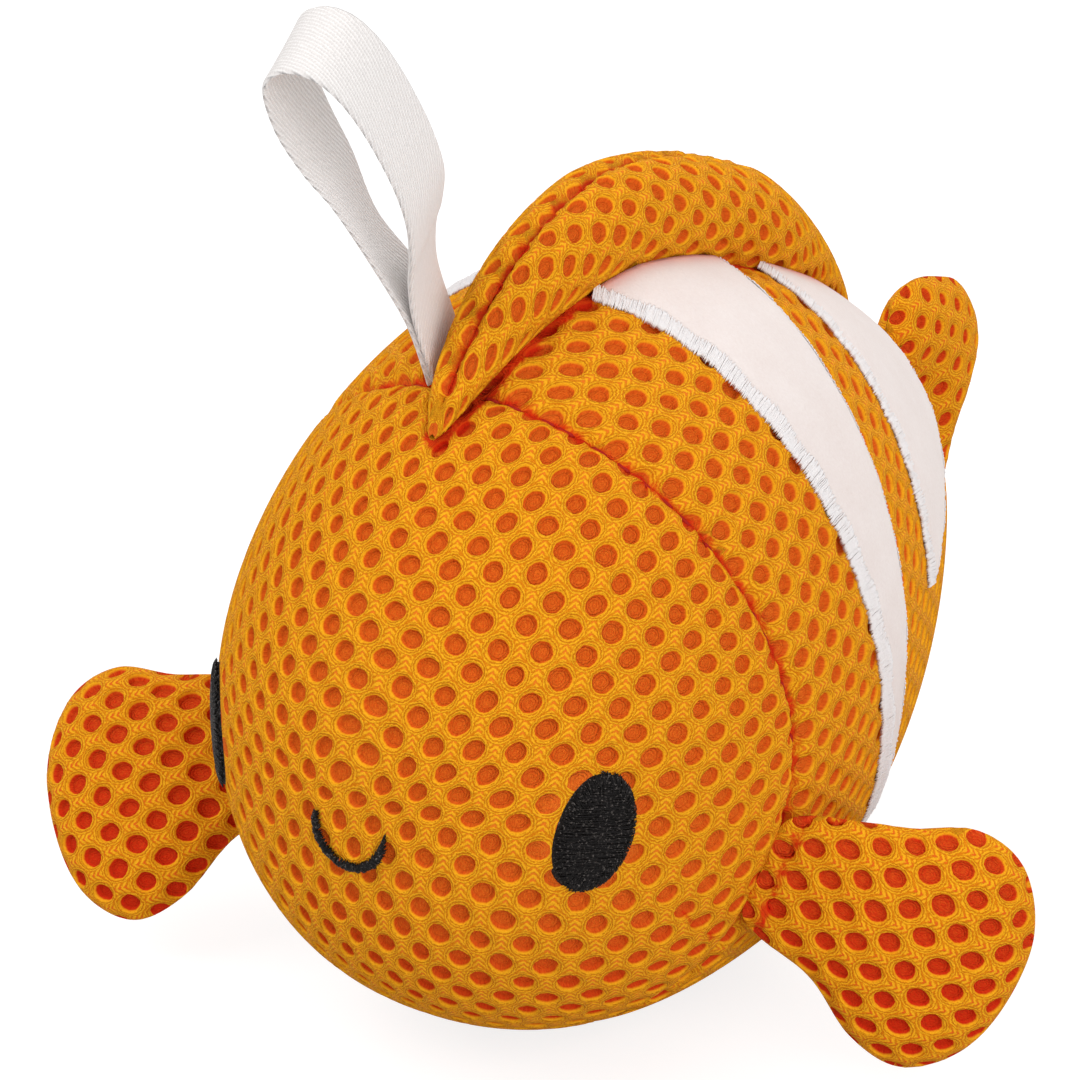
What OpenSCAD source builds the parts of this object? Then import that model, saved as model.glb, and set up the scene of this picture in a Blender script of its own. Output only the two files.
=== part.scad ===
// Squeaky bath toy: a stuffed clownfish sewn from open spacer mesh, with felt stripes,
// embroidered eyes and smile, a twill hanging loop, and a squeaker in its filling.
// Millimetres. The fish faces -Y, its left side is +X, and its belly rests on z = 0.

/* [Body] */
// Length of the body ahead of its widest section
nose_l = 66.5; // [62:0.5:74]
// Length of the body behind its widest section
rump_l = 98.5; // [92:0.5:110]
// Half of the body's greatest width
side_w = 47; // [42:0.5:54]
// Height of the back above the body's axis
back_h = 64; // [56:0.5:70]
// Depth of the belly below the body's axis
belly_h = 57; // [52:0.5:62]
// How far behind the widest section the belly is deepest
belly_back = 7; // [3:0.5:12]
// Thickness of the spacer mesh
fabric_t = 3; // [2:0.1:3.6]

/* [Head seam] */
// How far ahead of the widest section the head seam crosses the sides
seam_side = 14.5; // [10:0.5:20]
// How much further forward the seam runs at the back
seam_top_bow = 20.5; // [12:0.5:24]
// How much further forward the seam runs at the belly
seam_belly_bow = 18; // [10:0.5:22]

/* [Stripes] */
// Thickness of the white felt
felt_t = 1; // [0.6:0.1:1.4]
// Place of the front stripe's rear edge behind the widest section
front_stripe_y = 24; // [22:0.5:28]
// Width of the front stripe at the back
front_stripe_w = 37; // [30:0.5:40]
// Place of the rear stripe's rear edge at the back
rear_stripe_y = 76; // [70:0.5:78]
// Width of the rear stripe at the back
rear_stripe_w = 43; // [36:0.5:44]

/* [Dorsal fin] */
// Where the dorsal fin starts, ahead of the widest section
dorsal_front = 44; // [40:0.5:46]
// Length of the dorsal fin along the back
dorsal_l = 124; // [116:1:126]
// Height of the dorsal fin above the back
dorsal_h = 16.5; // [14:0.5:18]

/* [Side fins] */
// Length of a side fin from its root seam to its tip
fin_l = 41.5; // [34:0.5:46]
// Height of a side fin at its broadest
fin_h = 43; // [34:0.5:48]
// Greatest thickness of a side fin
fin_t = 14; // [11:0.5:16]
// How far the left fin droops
left_fin_droop_angle = 21; // [5:1:35]
// How far the left fin is swept back
left_fin_sweep_angle = 28; // [0:1:35]
// How far the left fin is turned about its own length
left_fin_twist_angle = 4; // [-10:1:20]
// How far the right fin droops
right_fin_droop_angle = 19.5; // [5:1:35]
// How far the right fin is swept back
right_fin_sweep_angle = -24; // [-28:1:20]
// How far the right fin is turned about its own length
right_fin_twist_angle = 36; // [0:1:40]
// How much further forward than the left fin the right fin is sewn
right_fin_ahead = 4.5; // [0:0.5:6]

/* [Tail fin] */
// Length of the tail fin behind its root seam
tail_l = 25; // [22:0.5:34]
// Height of the tail fin
tail_h = 58.5; // [50:0.5:64]
// Greatest thickness of the tail fin
tail_t = 12; // [10:0.5:15]
// Height of the tail fin's middle, from the body's axis
tail_z = -4; // [-7:0.5:0]

/* [Face] */
// Height of an eye
eye_h = 19; // [14:0.5:22]
// Width of an eye, as seen from ahead of it
eye_w = 12; // [10:0.2:15]
// Place of the eyes ahead of the widest section
eye_front = 52.5; // [50:0.5:54]
// Height of the eyes' middle, from the body's axis
eye_z = -1.5; // [-5:0.5:5]
// How far the tops of the eyes lean back
eye_tilt_angle = 9; // [0:1:15]
// Width of the smile
mouth_w = 12; // [8:0.5:15]
// Depth of the smile
mouth_h = 6.5; // [5:0.5:9]
// Height of the smile's ends, from the body's axis
mouth_z = -4; // [-7:0.5:-2]
// How far the smile is turned down towards the fish's left
mouth_tilt_angle = 10; // [0:1:12]
// Thickness of the satin stitching
stitch_t = 0.9; // [0.6:0.1:1.2]

/* [Hanging loop] */
// Width of the twill tape
tape_w = 15; // [12:0.5:18]
// Thickness of the twill tape
tape_t = 1; // [0.7:0.1:1.3]
// Height of the loop from its sewn foot
loop_h = 57; // [50:1:70]
// Width of the loop at its broadest
loop_w = 17.5; // [15:0.5:24]
// Place of the loop's foot ahead of the widest section
loop_front = 29; // [25:0.5:32]

/* [Squeaker] */
// Outer radius of the squeaker's bladder
bladder_r = 19; // [16:0.5:22]
// Height of the squeaker's bladder
bladder_h = 22; // [20:0.5:26]
// Wall of the blow-moulded bladder
bladder_wall = 1; // [0.8:0.1:1.2]
// Radius of the reed holder
reed_r = 4; // [3:0.1:5]
// Length of the reed holder
reed_l = 9; // [7:0.5:10]
// How far behind the widest section the squeaker lies
squeaker_back = 10; // [0:1:16]

/* [Hidden] */

mesh_orange = "#D9821C";
felt_white = "#F4E9E4";
twill_white = "#EDE8E7";
thread_black = "#241F1D";
fibre_white = "#F1EEE8";
bladder_white = "#E6ECEE";
reed_grey = "#C9CED2";

// Space between sewn pieces, at the seams, at a side fin's and the tail's root, and between moulded pieces
soft_gap = 0.4;
filling_gap = 1.2;
seam_gap = 0.4;
root_gap = 0.5;
tail_gap = 0.7;
seat_gap = 0.05;
// How deep the belly is pressed flat, and how far a cut runs past what it cuts
flat_cut = 0.5;
overrun = 1;

// Exponents that shape the body's outlines: 2 is an ellipse, more is blunter, less is more pointed
nose_side_share = 2.5;
nose_top_share = 2.1;
nose_belly_share = 2.5;
rump_side_share = 1.47;
rump_top_share = 1.47;
rump_belly_share = 1.8;
// Exponents of the body's section above and below its axis
top_section_share = 1.86;
belly_section_share = 2.17;
// How quickly the head seam bows forward, and how much of a wall is kept where it would meet itself
seam_bow_share = 1.6;
thin_share = 0.3;
// Where the side panels end, as a share of the rump
rump_end_share = 0.993;

// How far ahead a stripe's point lies, and the exponents of its front and rear edges
front_stripe_shares = [0.1, 1.05, 2];
rear_stripe_shares = [0.84, 3, 5];
// Angles where the front and rear stripe come to a point, and how far short of it they are cut
front_tip_angle = -33;
rear_tip_angle = 3;
stripe_tip_angle = 2;
stripe_end_gap = 1.2;
stripe_rows = 4;
stripe_steps = 11;

// Angle of the dorsal roll's foot below its centre, where along it it is highest, how blunt its front
// and its rear are, where the ends are cut, and how far its filling stops short of them
dorsal_foot_angle = 40;
dorsal_middle_share = 0.71;
dorsal_front_share = 2;
dorsal_rear_share = 1.3;
dorsal_tip_share = 0.001;
dorsal_fill_share = 0.1;
dorsal_rows = 14;
dorsal_steps = 6;

// Outlines of the fins from the root's middle, as shares of their length and half height
fin_outline_shares = [[0, 0], [0.015, 0.5], [0.2, 0.63], [0.38, 0.72], [0.6, 0.88], [0.81, 0.74],
    [0.95, 0.28], [0.96, -0.3], [0.88, -0.76], [0.7, -1.03], [0.48, -0.94], [0.25, -0.62], [0.03, -0.4]];
fin_root_share = 0.5;
tail_outline_shares = [[0, 0], [0.01, 0.36], [-0.1, 0.55], [-0.24, 0.78], [-0.12, 0.99], [0.14, 1.04],
    [0.46, 0.97], [0.78, 0.84], [0.94, 0.58], [0.78, 0.28], [0.54, 0.02], [0.4, -0.26], [0.32, -0.56],
    [0.12, -0.78], [-0.1, -0.78], [-0.06, -0.56], [0.01, -0.36]];
tail_root_share = 0.36;
outline_steps = 2;
// Rings of a fin's panel, its middle, and how it flattens towards its root
ring_shares = [0.45, 0.8, 1];
fin_middle_shares = [0.52, 0];
tail_middle_shares = [0.34, 0.2];
root_flat_share = 0.3;
root_run_share = 0.45;
// Half thickness of a fin's sewn edge, and how far its hinge line lies off the body
edge_t = 0.8;
hinge_off = 2 * root_gap + edge_t * sqrt(2);
// Angle of the side fins' roots below the body's axis
fin_angle = -20;

// The tape's direction along its width: turned outwards from the fish's length, and lifted
loop_turn_angle = 12;
loop_lift_angle = 22;
// The loop's shape from foot to foot: shares of its width and height, and how far the tape turns
loop_shares = [[-0.13, 0.16, 16], [-0.33, 0.34, 22], [-0.46, 0.54, 13], [-0.59, 0.67, 5], [-0.67, 0.8, 0],
    [-0.67, 0.92, 0], [-0.56, 0.98, 0], [-0.38, 1, 0], [-0.18, 0.98, 0], [-0.02, 0.92, 0], [0.1, 0.83, 0],
    [0.19, 0.72, 0], [0.25, 0.61, 0], [0.26, 0.5, 0], [0.18, 0.39, 3], [0.09, 0.31, 6], [0.02, 0.18, 8]];
loop_foot_angle = 8;
loop_steps = 2;
// How far the loop's foot lies off the body
loop_off = 1.5;

// Stitching: height left at an eye's edge, and the line of the smile
edge_stitch_share = 0.6;
smile_line_w = 1.6;
eye_steps = 18;
smile_steps = 12;
// How often the search for a point of the nose halves its range
halvings = 20;

// The bladder's ends, its folds, and the reed's parts
fold_low_share = 0.27;
end_corner_share = 0.8;
fold_count = 2;
fold_depth = 3.5;
collar_w = 1.5;
collar_t = 1;
holder_wall = 1.2;
reed_t = 0.3;

round_steps = 64;

// Steps around the body, ahead of the head seam and behind it
around_steps = 36;
face_steps = 6;
flank_steps = 10;
filling_steps = 10;

axis_z = belly_h - flat_cut;
rump_end = rump_l * rump_end_share;
tail_root_y = rump_end + tail_gap;
mid_y = (tail_root_y + tail_l - nose_l) / 2;

// Falls from 1 at u = 0 to 0 at u = 1 along a superellipse
function swell(u, power_share) = pow(max(1 - pow(abs(u), power_share), 0), 1 / power_share);

// Rises smoothly from 0 to 1
function ease(u) = let (c = min(max(u, 0), 1)) c * c * (3 - 2 * c);

function lerp(a, b, u) = a + (b - a) * u;

function unit(v) = v / norm(v);

// A share of the way along the body, with front and rear lengths that meet at place m
function along(y, m, front, rear, front_share, rear_share) =
    y < m ? swell((y - m) / (front + m), front_share) : swell((y - m) / (rear - m), rear_share);

// The body's half-width, height and depth at y, all grown by g, before a thin wall is kept open
function raw_side(y, g) =
    (side_w + g) * along(y, 0, nose_l + g, rump_l + g, nose_side_share, rump_side_share);
function raw_back(y, g) =
    (back_h + g) * along(y, 0, nose_l + g, rump_l + g, nose_top_share, rump_top_share);
function raw_belly(y, g) =
    (belly_h + g) * along(y, belly_back, nose_l + g, rump_l + g, nose_belly_share, rump_belly_share);

// The same, where an inner surface at the rump keeps a share of the outer size
function body_side(y, g) = y > 0 ? max(raw_side(y, g), thin_share * raw_side(y, 0)) : raw_side(y, g);
function body_back(y, g) = y > 0 ? max(raw_back(y, g), thin_share * raw_back(y, 0)) : raw_back(y, g);
function body_belly(y, g) = y > 0 ? max(raw_belly(y, g), thin_share * raw_belly(y, 0)) : raw_belly(y, g);

// A point of the body's skin grown by g, at angle a of its section: 0 is the left side, 90 the back
function body_point(y, a, g) =
    let (up = sin(a) >= 0)
    let (reach = up ? body_back(y, g) : body_belly(y, g))
    let (curve = 2 / (up ? top_section_share : belly_section_share))
    [body_side(y, g) * sign(cos(a)) * pow(abs(cos(a)), curve), y,
        reach * sign(sin(a)) * pow(abs(sin(a)), curve)];

// Half-width of the body at height z, and height of its back at distance x from the middle
function side_at(y, z, g) =
    let (reach = z >= 0 ? body_back(y, g) : body_belly(y, g))
    body_side(y, g) * swell(z / reach, z >= 0 ? top_section_share : belly_section_share);
function back_at(y, x, g) = body_back(y, g) * swell(x / body_side(y, g), top_section_share);

// The line of the head seam at angle a
function head_seam(a) =
    -(seam_side + (sin(a) > 0 ? seam_top_bow : seam_belly_bow) * pow(abs(sin(a)), seam_bow_share));

// A smooth closed curve through points, with a number of steps between each two
function smooth_closed(p, steps) = let (n = len(p))
    [for (i = [0 : n - 1], s = [0 : steps - 1])
        spline_point(p[(i + n - 1) % n], p[i], p[(i + 1) % n], p[(i + 2) % n], s / steps)];

// The same through an open row of points
function smooth_open(p, steps) = let (n = len(p))
    concat([for (i = [0 : n - 2], s = [0 : steps - 1])
        spline_point(p[max(i - 1, 0)], p[i], p[i + 1], p[min(i + 2, n - 1)], s / steps)], [p[n - 1]]);

// A point of a Catmull-Rom curve between b and c
function spline_point(a, b, c, d, u) =
    b + (c - a) * u / 2 + (a * 2 - b * 5 + c * 4 - d) * u * u / 2 + (b * 3 - a - c * 3 + d) * u * u * u / 2;

function flat_list(rows) = [for (r = rows) for (p = r) p];

// Total of the numbers in a list
function total(v) = [for (x = v) 1] * v;

// A closed solid from points and triangles, turned right side out
module closed(points, faces) {
    spin = total([for (f = faces) cross(points[f[0]], points[f[1]]) * points[f[2]]]);
    polyhedron(points = points, faces = spin < 0 ? faces : [for (f = faces) [f[0], f[2], f[1]]]);
}

// Two triangles for each cell of a grid of rows and columns that starts at point k
function grid_faces(rows, cols, k, wrap) = let (last = wrap ? cols - 1 : cols - 2)
    [for (i = [0 : rows - 2], j = [0 : last])
        let (a = k + i * cols + j, b = k + i * cols + (j + 1) % cols)
        each [[a, b, b + cols], [a, b + cols, a + cols]]];

function reversed(faces) = [for (f = faces) [f[0], f[2], f[1]]];

// Two triangles that join edge a-b to edge c-d
function strip(a, b, c, d) = [[a, b, d], [a, d, c]];

// A panel between an outer and an inner grid of points, closed at its four edges
module slab(outer, inner) {
    rows = len(outer);
    cols = len(outer[0]);
    k = rows * cols;
    end = (rows - 1) * cols;
    closed(concat(flat_list(outer), flat_list(inner)), concat(
        grid_faces(rows, cols, 0, false),
        reversed(grid_faces(rows, cols, k, false)),
        [for (j = [0 : cols - 2]) each strip(j + 1, j, k + j + 1, k + j)],
        [for (j = [0 : cols - 2]) each strip(end + j, end + j + 1, k + end + j, k + end + j + 1)],
        [for (i = [0 : rows - 2]) let (a = i * cols) each strip(a, a + cols, k + a, k + a + cols)],
        [for (i = [0 : rows - 2]) let (a = i * cols + cols - 1)
            each strip(a + cols, a, k + a + cols, k + a)]));
}

// A bowl between outer and inner rings, each closed at its middle by one point
module bowl(outer, inner, outer_tip, inner_tip) {
    rows = len(outer);
    cols = len(outer[0]);
    k = rows * cols;
    end = (rows - 1) * cols;
    closed(concat(flat_list(outer), flat_list(inner), [outer_tip, inner_tip]), concat(
        [for (j = [0 : cols - 1]) [2 * k, (j + 1) % cols, j]],
        [for (j = [0 : cols - 1]) [2 * k + 1, k + j, k + (j + 1) % cols]],
        grid_faces(rows, cols, 0, true),
        reversed(grid_faces(rows, cols, k, true)),
        [for (j = [0 : cols - 1]) let (n = (j + 1) % cols)
            each strip(end + j, end + n, k + end + j, k + end + n)]));
}

// A closed form of rings, with a point at each end
module pod(rings, first_tip, last_tip) {
    rows = len(rings);
    cols = len(rings[0]);
    k = rows * cols;
    closed(concat(flat_list(rings), [first_tip, last_tip]), concat(
        [for (j = [0 : cols - 1]) [k, (j + 1) % cols, j]],
        grid_faces(rows, cols, 0, true),
        [for (j = [0 : cols - 1]) [k + 1, k - cols + j, k - cols + (j + 1) % cols]]));
}

// Puts a piece made about the body's axis in the frame of the whole toy
module placed() {
    translate([0, -mid_y, axis_z]) children();
}

// Body

// Rings of the face panel's skin, grown by g, from the nose to the head seam
function face_rings(g) = [for (i = [1 : face_steps])
    [for (j = [0 : around_steps - 1])
        let (a = 360 * j / around_steps)
        body_point(lerp(-nose_l - g, head_seam(a) - seam_gap / 2, 1 - cos(90 * i / face_steps)), a, g)]];

module face_panel() {
    color(mesh_orange) placed()
        bowl(face_rings(0), face_rings(-fabric_t), [0, -nose_l, 0], [0, fabric_t - nose_l, 0]);
}

// Grid of the left side panel's skin, grown by g, from the head seam to the tail
function flank_grid(g) = [for (i = [0 : flank_steps])
    [for (j = [0 : around_steps / 2])
        let (a = lerp(-90, 90, j / (around_steps / 2)), start = head_seam(a) + seam_gap / 2)
        body_point(lerp(start, rump_end, sin(90 * i / flank_steps)), a, g) + [seam_gap / 2, 0, 0]]];

module left_side_panel() {
    color(mesh_orange) placed() difference() {
        slab(flank_grid(0), flank_grid(-fabric_t));
        translate([-side_w, -nose_l, -belly_h - overrun])
            cube([2 * side_w, nose_l + rump_l, flat_cut + overrun]);
    }
}

module right_side_panel() {
    mirror([1, 0, 0]) left_side_panel();
}

// The filling follows the inside of the panels and leaves a round pocket for the squeaker
module body_filling() {
    g = -fabric_t - filling_gap;
    around = around_steps * 2 / 3;
    nose = -nose_l - g;
    rump = rump_l + g;
    rings = [for (i = [1 : filling_steps - 1])
        [for (j = [0 : around - 1])
            body_point(lerp(nose, rump, (1 - cos(180 * i / filling_steps)) / 2), 360 * j / around, g)]];
    color(fibre_white) placed() difference() {
        pod(rings, [0, nose, 0], [0, rump, 0]);
        translate([0, squeaker_back, -bladder_h / 2 - soft_gap])
            cylinder(r = bladder_r + soft_gap, h = bladder_h + 2 * soft_gap, $fn = round_steps);
    }
}

// Felt stripes

// One row each for the front and rear stripe: place of the rear edge, width at the back, the angle
// where the stripe comes to a point, and the shares that shape its edges
stripes = [[front_stripe_y, front_stripe_w, front_tip_angle, front_stripe_shares],
    [rear_stripe_y, rear_stripe_w, rear_tip_angle, rear_stripe_shares]];

// Place between the edges of stripe k, at angle a and share r of its width
function stripe_y(k, a, r) =
    let (low = stripes[k][2], share = stripes[k][3])
    let (u = (a - low) / (90 - low))
    let (front = share[0] + (1 - share[0]) * pow(u, share[1]), rear = share[0] * pow(1 - u, share[2]))
    stripes[k][0] - stripes[k][1] * lerp(front, rear, r);

// Angle at which a stripe stops beside the dorsal fin
function beside_dorsal(y) =
    acos(pow((dorsal_foot(y) + stripe_end_gap) / body_side(y, 0), top_section_share / 2));

// Grid of the surface of stripe k, grown by g over the side panel
function stripe_grid(k, g) = [for (i = [0 : stripe_rows])
    let (r = i / stripe_rows, top = beside_dorsal(stripe_y(k, 90, i / stripe_rows)))
    [for (j = [0 : stripe_steps])
        let (a = lerp(stripes[k][2] + stripe_tip_angle, top, j / stripe_steps))
        body_point(stripe_y(k, a, r), a, g) + [seam_gap / 2, 0, 0]]];

module stripe(k) {
    color(felt_white) placed() slab(stripe_grid(k, soft_gap + felt_t), stripe_grid(k, soft_gap));
}

module left_front_stripe() stripe(0);
module left_rear_stripe() stripe(1);
module right_front_stripe() mirror([1, 0, 0]) stripe(0);
module right_rear_stripe() mirror([1, 0, 0]) stripe(1);

// Dorsal fin, a stuffed roll along the back

function dorsal_y(share) = dorsal_l * share - dorsal_front;

// Radius of the roll at y, distance of its foot from the middle, and height of its centre
function dorsal_r(y) =
    dorsal_h * along(y, dorsal_y(dorsal_middle_share), dorsal_front, dorsal_y(1), dorsal_front_share,
        dorsal_rear_share) / (1 + sin(dorsal_foot_angle));
function dorsal_foot(y) = dorsal_r(y) * cos(dorsal_foot_angle);
function dorsal_z(y) = back_at(y, dorsal_foot(y), soft_gap) + dorsal_r(y) * sin(dorsal_foot_angle);

// A point of the roll at y and angle a, on a circle of radius r
function dorsal_point(y, a, r) = [r * cos(a), y, dorsal_z(y) + r * sin(a)];

function dorsal_share(i) =
    min(max((1 - cos(180 * i / dorsal_rows)) / 2, dorsal_tip_share), 1 - dorsal_tip_share);

// Grid of the left half of the roll, drawn in by t
function dorsal_grid(t) = [for (i = [0 : dorsal_rows])
    let (y = dorsal_y(dorsal_share(i)), full = dorsal_r(y))
    [for (j = [0 : dorsal_steps])
        dorsal_point(y, lerp(-dorsal_foot_angle, 90, j / dorsal_steps), max(full - t, thin_share * full))
            + [seam_gap / 2, 0, 0]]];

module dorsal_fin_left_panel() {
    color(mesh_orange) placed() slab(dorsal_grid(0), dorsal_grid(fabric_t));
}

module dorsal_fin_right_panel() {
    mirror([1, 0, 0]) dorsal_fin_left_panel();
}

module dorsal_fin_filling() {
    cols = 2 * dorsal_steps;
    rings = [for (i = [0 : dorsal_rows])
        let (y = dorsal_y(lerp(dorsal_fill_share, 1 - dorsal_fill_share, i / dorsal_rows)))
        [for (j = [0 : cols - 1])
            dorsal_point(y, lerp(-dorsal_foot_angle, 180 + dorsal_foot_angle, j / (cols - 1)),
                dorsal_r(y) - fabric_t - filling_gap)]];
    first = dorsal_y(dorsal_fill_share);
    last = dorsal_y(1 - dorsal_fill_share);
    color(fibre_white) placed() pod(rings, [0, first, dorsal_z(first)], [0, last, dorsal_z(last)]);
}

// Stuffed fins with a root seam

// Axes of a side fin: outwards, up its root seam, and forwards. Side is 1 for left and -1 for right
function fin_axes(side, droop, sweep, twist) =
    let (out = [side * cos(droop) * cos(sweep), cos(droop) * sin(sweep), -sin(droop)])
    let (up = [side * (sin(droop) * cos(sweep) * cos(twist) - sin(sweep) * sin(twist)),
        sin(droop) * sin(sweep) * cos(twist) + cos(sweep) * sin(twist), cos(droop) * cos(twist)])
    [out, up, side * cross(out, up)];

// A fin is its root's place, its axes, length, height, thickness, outline, half height of its root and middle
function side_fin(side, droop, sweep, twist, ahead) =
    let (axes = fin_axes(side, droop, sweep, twist))
    let (skin = body_point(head_seam(fin_angle) - ahead, fin_angle, hinge_off))
    [[side * skin[0], skin[1], skin[2]] - edge_t * axes[0], axes, fin_l, fin_h, fin_t,
        fin_outline_shares, fin_root_share, fin_middle_shares];

left_fin = side_fin(1, left_fin_droop_angle, left_fin_sweep_angle, left_fin_twist_angle, 0);
right_fin = side_fin(-1, right_fin_droop_angle, right_fin_sweep_angle, right_fin_twist_angle,
    right_fin_ahead);
tail_fin = [[0, tail_root_y, tail_z], [[0, 1, 0], [0, 0, 1], [1, 0, 0]], tail_l, tail_h, tail_t,
    tail_outline_shares, tail_root_share, tail_middle_shares];

// Outline of fin f, as lengths out from its root and up along it
function fin_outline(f) = smooth_closed([for (p = f[5]) [p[0] * f[2], p[1] * f[3] / 2]], outline_steps);

// Half thickness of fin f at point p of its plane, a share rho of the way to its edge:
// a pillow that flattens towards the root seam
function fin_half(f, p, rho) =
    let (off_root = norm([p[0], max(abs(p[1]) - f[6] * f[3] / 2, 0)]))
    let (full = lerp(root_flat_share, 1, ease(off_root / (root_run_share * f[2]))))
    edge_t + (f[4] / 2 - edge_t) * sqrt(max(1 - rho * rho, 0)) * full;

// Middle of a fin, from which its rings spread
function fin_middle(f) = [f[2] * f[7][0], f[3] / 2 * f[7][1]];

// A point of fin f in the body's frame, at p in its plane and n to its front
function fin_point(f, p, n) = f[0] + p[0] * f[1][0] + p[1] * f[1][1] + n * f[1][2];

// Rings of a fin's face on its front (face 1) or back (face -1): the outer skin, or the inner one
function fin_rings(f, face, inner) = [for (rho = ring_shares)
    [for (edge = fin_outline(f))
        let (p = lerp(fin_middle(f), edge, rho), half = fin_half(f, p, rho))
        fin_point(f, p, face * (inner ? max(half - fabric_t, seam_gap / 2) : half))]];

module fin_panel(f, face) {
    middle = fin_middle(f);
    half = fin_half(f, middle, 0);
    color(mesh_orange) placed()
        bowl(fin_rings(f, face, false), fin_rings(f, face, true),
            fin_point(f, middle, face * half), fin_point(f, middle, face * (half - fabric_t)));
}

// Half thickness of a fin's filling, which ends where the panels meet
function fill_half(f, p, rho) = max(fin_half(f, p, rho) - fabric_t - filling_gap, seam_gap / 4);

function fill_rings(f, face) = [for (rho = [ring_shares[0], ring_shares[1]])
    [for (edge = fin_outline(f))
        let (p = lerp(fin_middle(f), edge, rho))
        fin_point(f, p, face * fill_half(f, p, rho))]];

module fin_filling(f) {
    middle = fin_middle(f);
    half = fill_half(f, middle, 0);
    color(fibre_white) placed()
        bowl(fill_rings(f, 1), fill_rings(f, -1), fin_point(f, middle, half), fin_point(f, middle, -half));
}

module left_fin_front_panel() fin_panel(left_fin, 1);
module left_fin_back_panel() fin_panel(left_fin, -1);
module left_fin_filling() fin_filling(left_fin);
module right_fin_front_panel() fin_panel(right_fin, 1);
module right_fin_back_panel() fin_panel(right_fin, -1);
module right_fin_filling() fin_filling(right_fin);
module tail_fin_left_panel() fin_panel(tail_fin, 1);
module tail_fin_right_panel() fin_panel(tail_fin, -1);
module tail_fin_filling() fin_filling(tail_fin);

// Hanging loop: one length of tape, both ends sewn in beside the dorsal fin's front

tape_dir = [-sin(loop_turn_angle) * cos(loop_lift_angle), cos(loop_turn_angle) * cos(loop_lift_angle),
    sin(loop_lift_angle)];
loop_across = unit([1, 0, 0] - tape_dir * tape_dir[0]);
loop_up = cross(loop_across, tape_dir);
foot_x = -dorsal_r(tape_w / 2 - loop_front) - soft_gap - tape_t * 3 / 2;
loop_foot = [foot_x, -loop_front, back_at(-loop_front, foot_x, loop_off)];

module hanging_loop() {
    foot = tape_t / 2 + seam_gap / 4;
    path = smooth_open(concat([[-foot, 0, loop_foot_angle]],
        [for (p = loop_shares) [p[0] * loop_w, p[1] * loop_h, p[2]]],
        [[foot, 0, loop_foot_angle]]), loop_steps);
    n = len(path);
    sides = [for (s = [-1, 1]) [for (i = [0 : n - 1])
        let (way = path[min(i + 1, n - 1)] - path[max(i - 1, 0)], d = unit([way[0], way[1]]))
        let (p = [path[i][0], path[i][1]] + [d[1], -d[0]] * s * tape_t / 2, turn = path[i][2])
        [for (w = [-tape_w / 2, tape_w / 2])
            loop_foot + (p[0] - w * sin(turn)) * loop_across + p[1] * loop_up + w * cos(turn) * tape_dir]]];
    color(twill_white) placed() slab(sides[0], sides[1]);
}

// Embroidered face

module left_eye_embroidery() {
    rise = side_at(eye_w / 4 - eye_front, eye_z, 0) - side_at(-eye_w / 4 - eye_front, eye_z, 0);
    run = eye_w / 2 / norm([1, rise / (eye_w / 2)]);
    rings = [for (top = [0, stitch_t]) [for (rho = [1 / 2, 1]) [for (j = [0 : eye_steps - 1])
        let (a = 360 * j / eye_steps, t = top * lerp(1, edge_stitch_share, rho))
        eye_point(rho * run * cos(a), rho * eye_h / 2 * sin(a), t)]]];
    color(thread_black) placed() bowl(rings[1], rings[0], eye_point(0, 0, stitch_t), eye_point(0, 0, 0));
}

// A point of the eye at u across it and v up it from its middle, t above its seat on the face
function eye_point(u, v, t) =
    let (y = u * cos(eye_tilt_angle) + v * sin(eye_tilt_angle) - eye_front)
    let (z = v * cos(eye_tilt_angle) - u * sin(eye_tilt_angle) + eye_z)
    [side_at(y, z, soft_gap + t), y, z];

module right_eye_embroidery() {
    mirror([1, 0, 0]) left_eye_embroidery();
}

// Whether x, z lies outside the section at y, and the place where the nose passes through x, z
function outside(x, y, z, g) =
    let (share = z >= 0 ? top_section_share : belly_section_share)
    let (reach = z >= 0 ? body_back(y, g) : body_belly(y, g))
    pow(abs(x) / body_side(y, g), share) + pow(abs(z) / reach, share) > 1;
function nose_y(x, z, g, lo, hi, times) =
    let (m = (lo + hi) / 2)
    times == 0 ? m
        : outside(x, m, z, g) ? nose_y(x, z, g, m, hi, times - 1) : nose_y(x, z, g, lo, m, times - 1);

// A point of the smile at angle a of its arc, w outside its middle line and t above its seat
function smile_point(a, w, t) =
    let (u = (mouth_w / 2 + w) * cos(a), v = (mouth_h + w) * sin(a))
    let (x = u * cos(mouth_tilt_angle) + v * sin(mouth_tilt_angle))
    let (z = v * cos(mouth_tilt_angle) - u * sin(mouth_tilt_angle) + mouth_z)
    [x, nose_y(x, z, soft_gap + t, -nose_l - soft_gap - t, 0, halvings), z];

module mouth_embroidery() {
    grids = [for (t = [stitch_t, 0]) [for (i = [0 : smile_steps])
        [for (w = [-smile_line_w / 2, smile_line_w / 2]) smile_point(180 + 180 * i / smile_steps, w, t)]]];
    color(thread_black) placed() slab(grids[0], grids[1]);
}

// Squeaker: a blow-moulded bladder with a folded side, and a reed in its neck

squeaker_floor = axis_z - bladder_h / 2;
fold_low = bladder_h * fold_low_share;
fold_high = bladder_h * (1 - fold_low_share);

module at_squeaker() {
    translate([0, squeaker_back - mid_y, squeaker_floor]) children();
}

// Wall of the bladder's lower or upper end, from its middle to where the folds start
function end_profile(hole_r) =
    let (corner = bladder_r * end_corner_share)
    [[hole_r, 0], [corner, 0], [bladder_r, fold_low / 2], [bladder_r, fold_low],
        [bladder_r - bladder_wall, fold_low], [bladder_r - bladder_wall, fold_low / 2 + bladder_wall / 2],
        [corner - bladder_wall / 2, bladder_wall], [hole_r, bladder_wall]];

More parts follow.
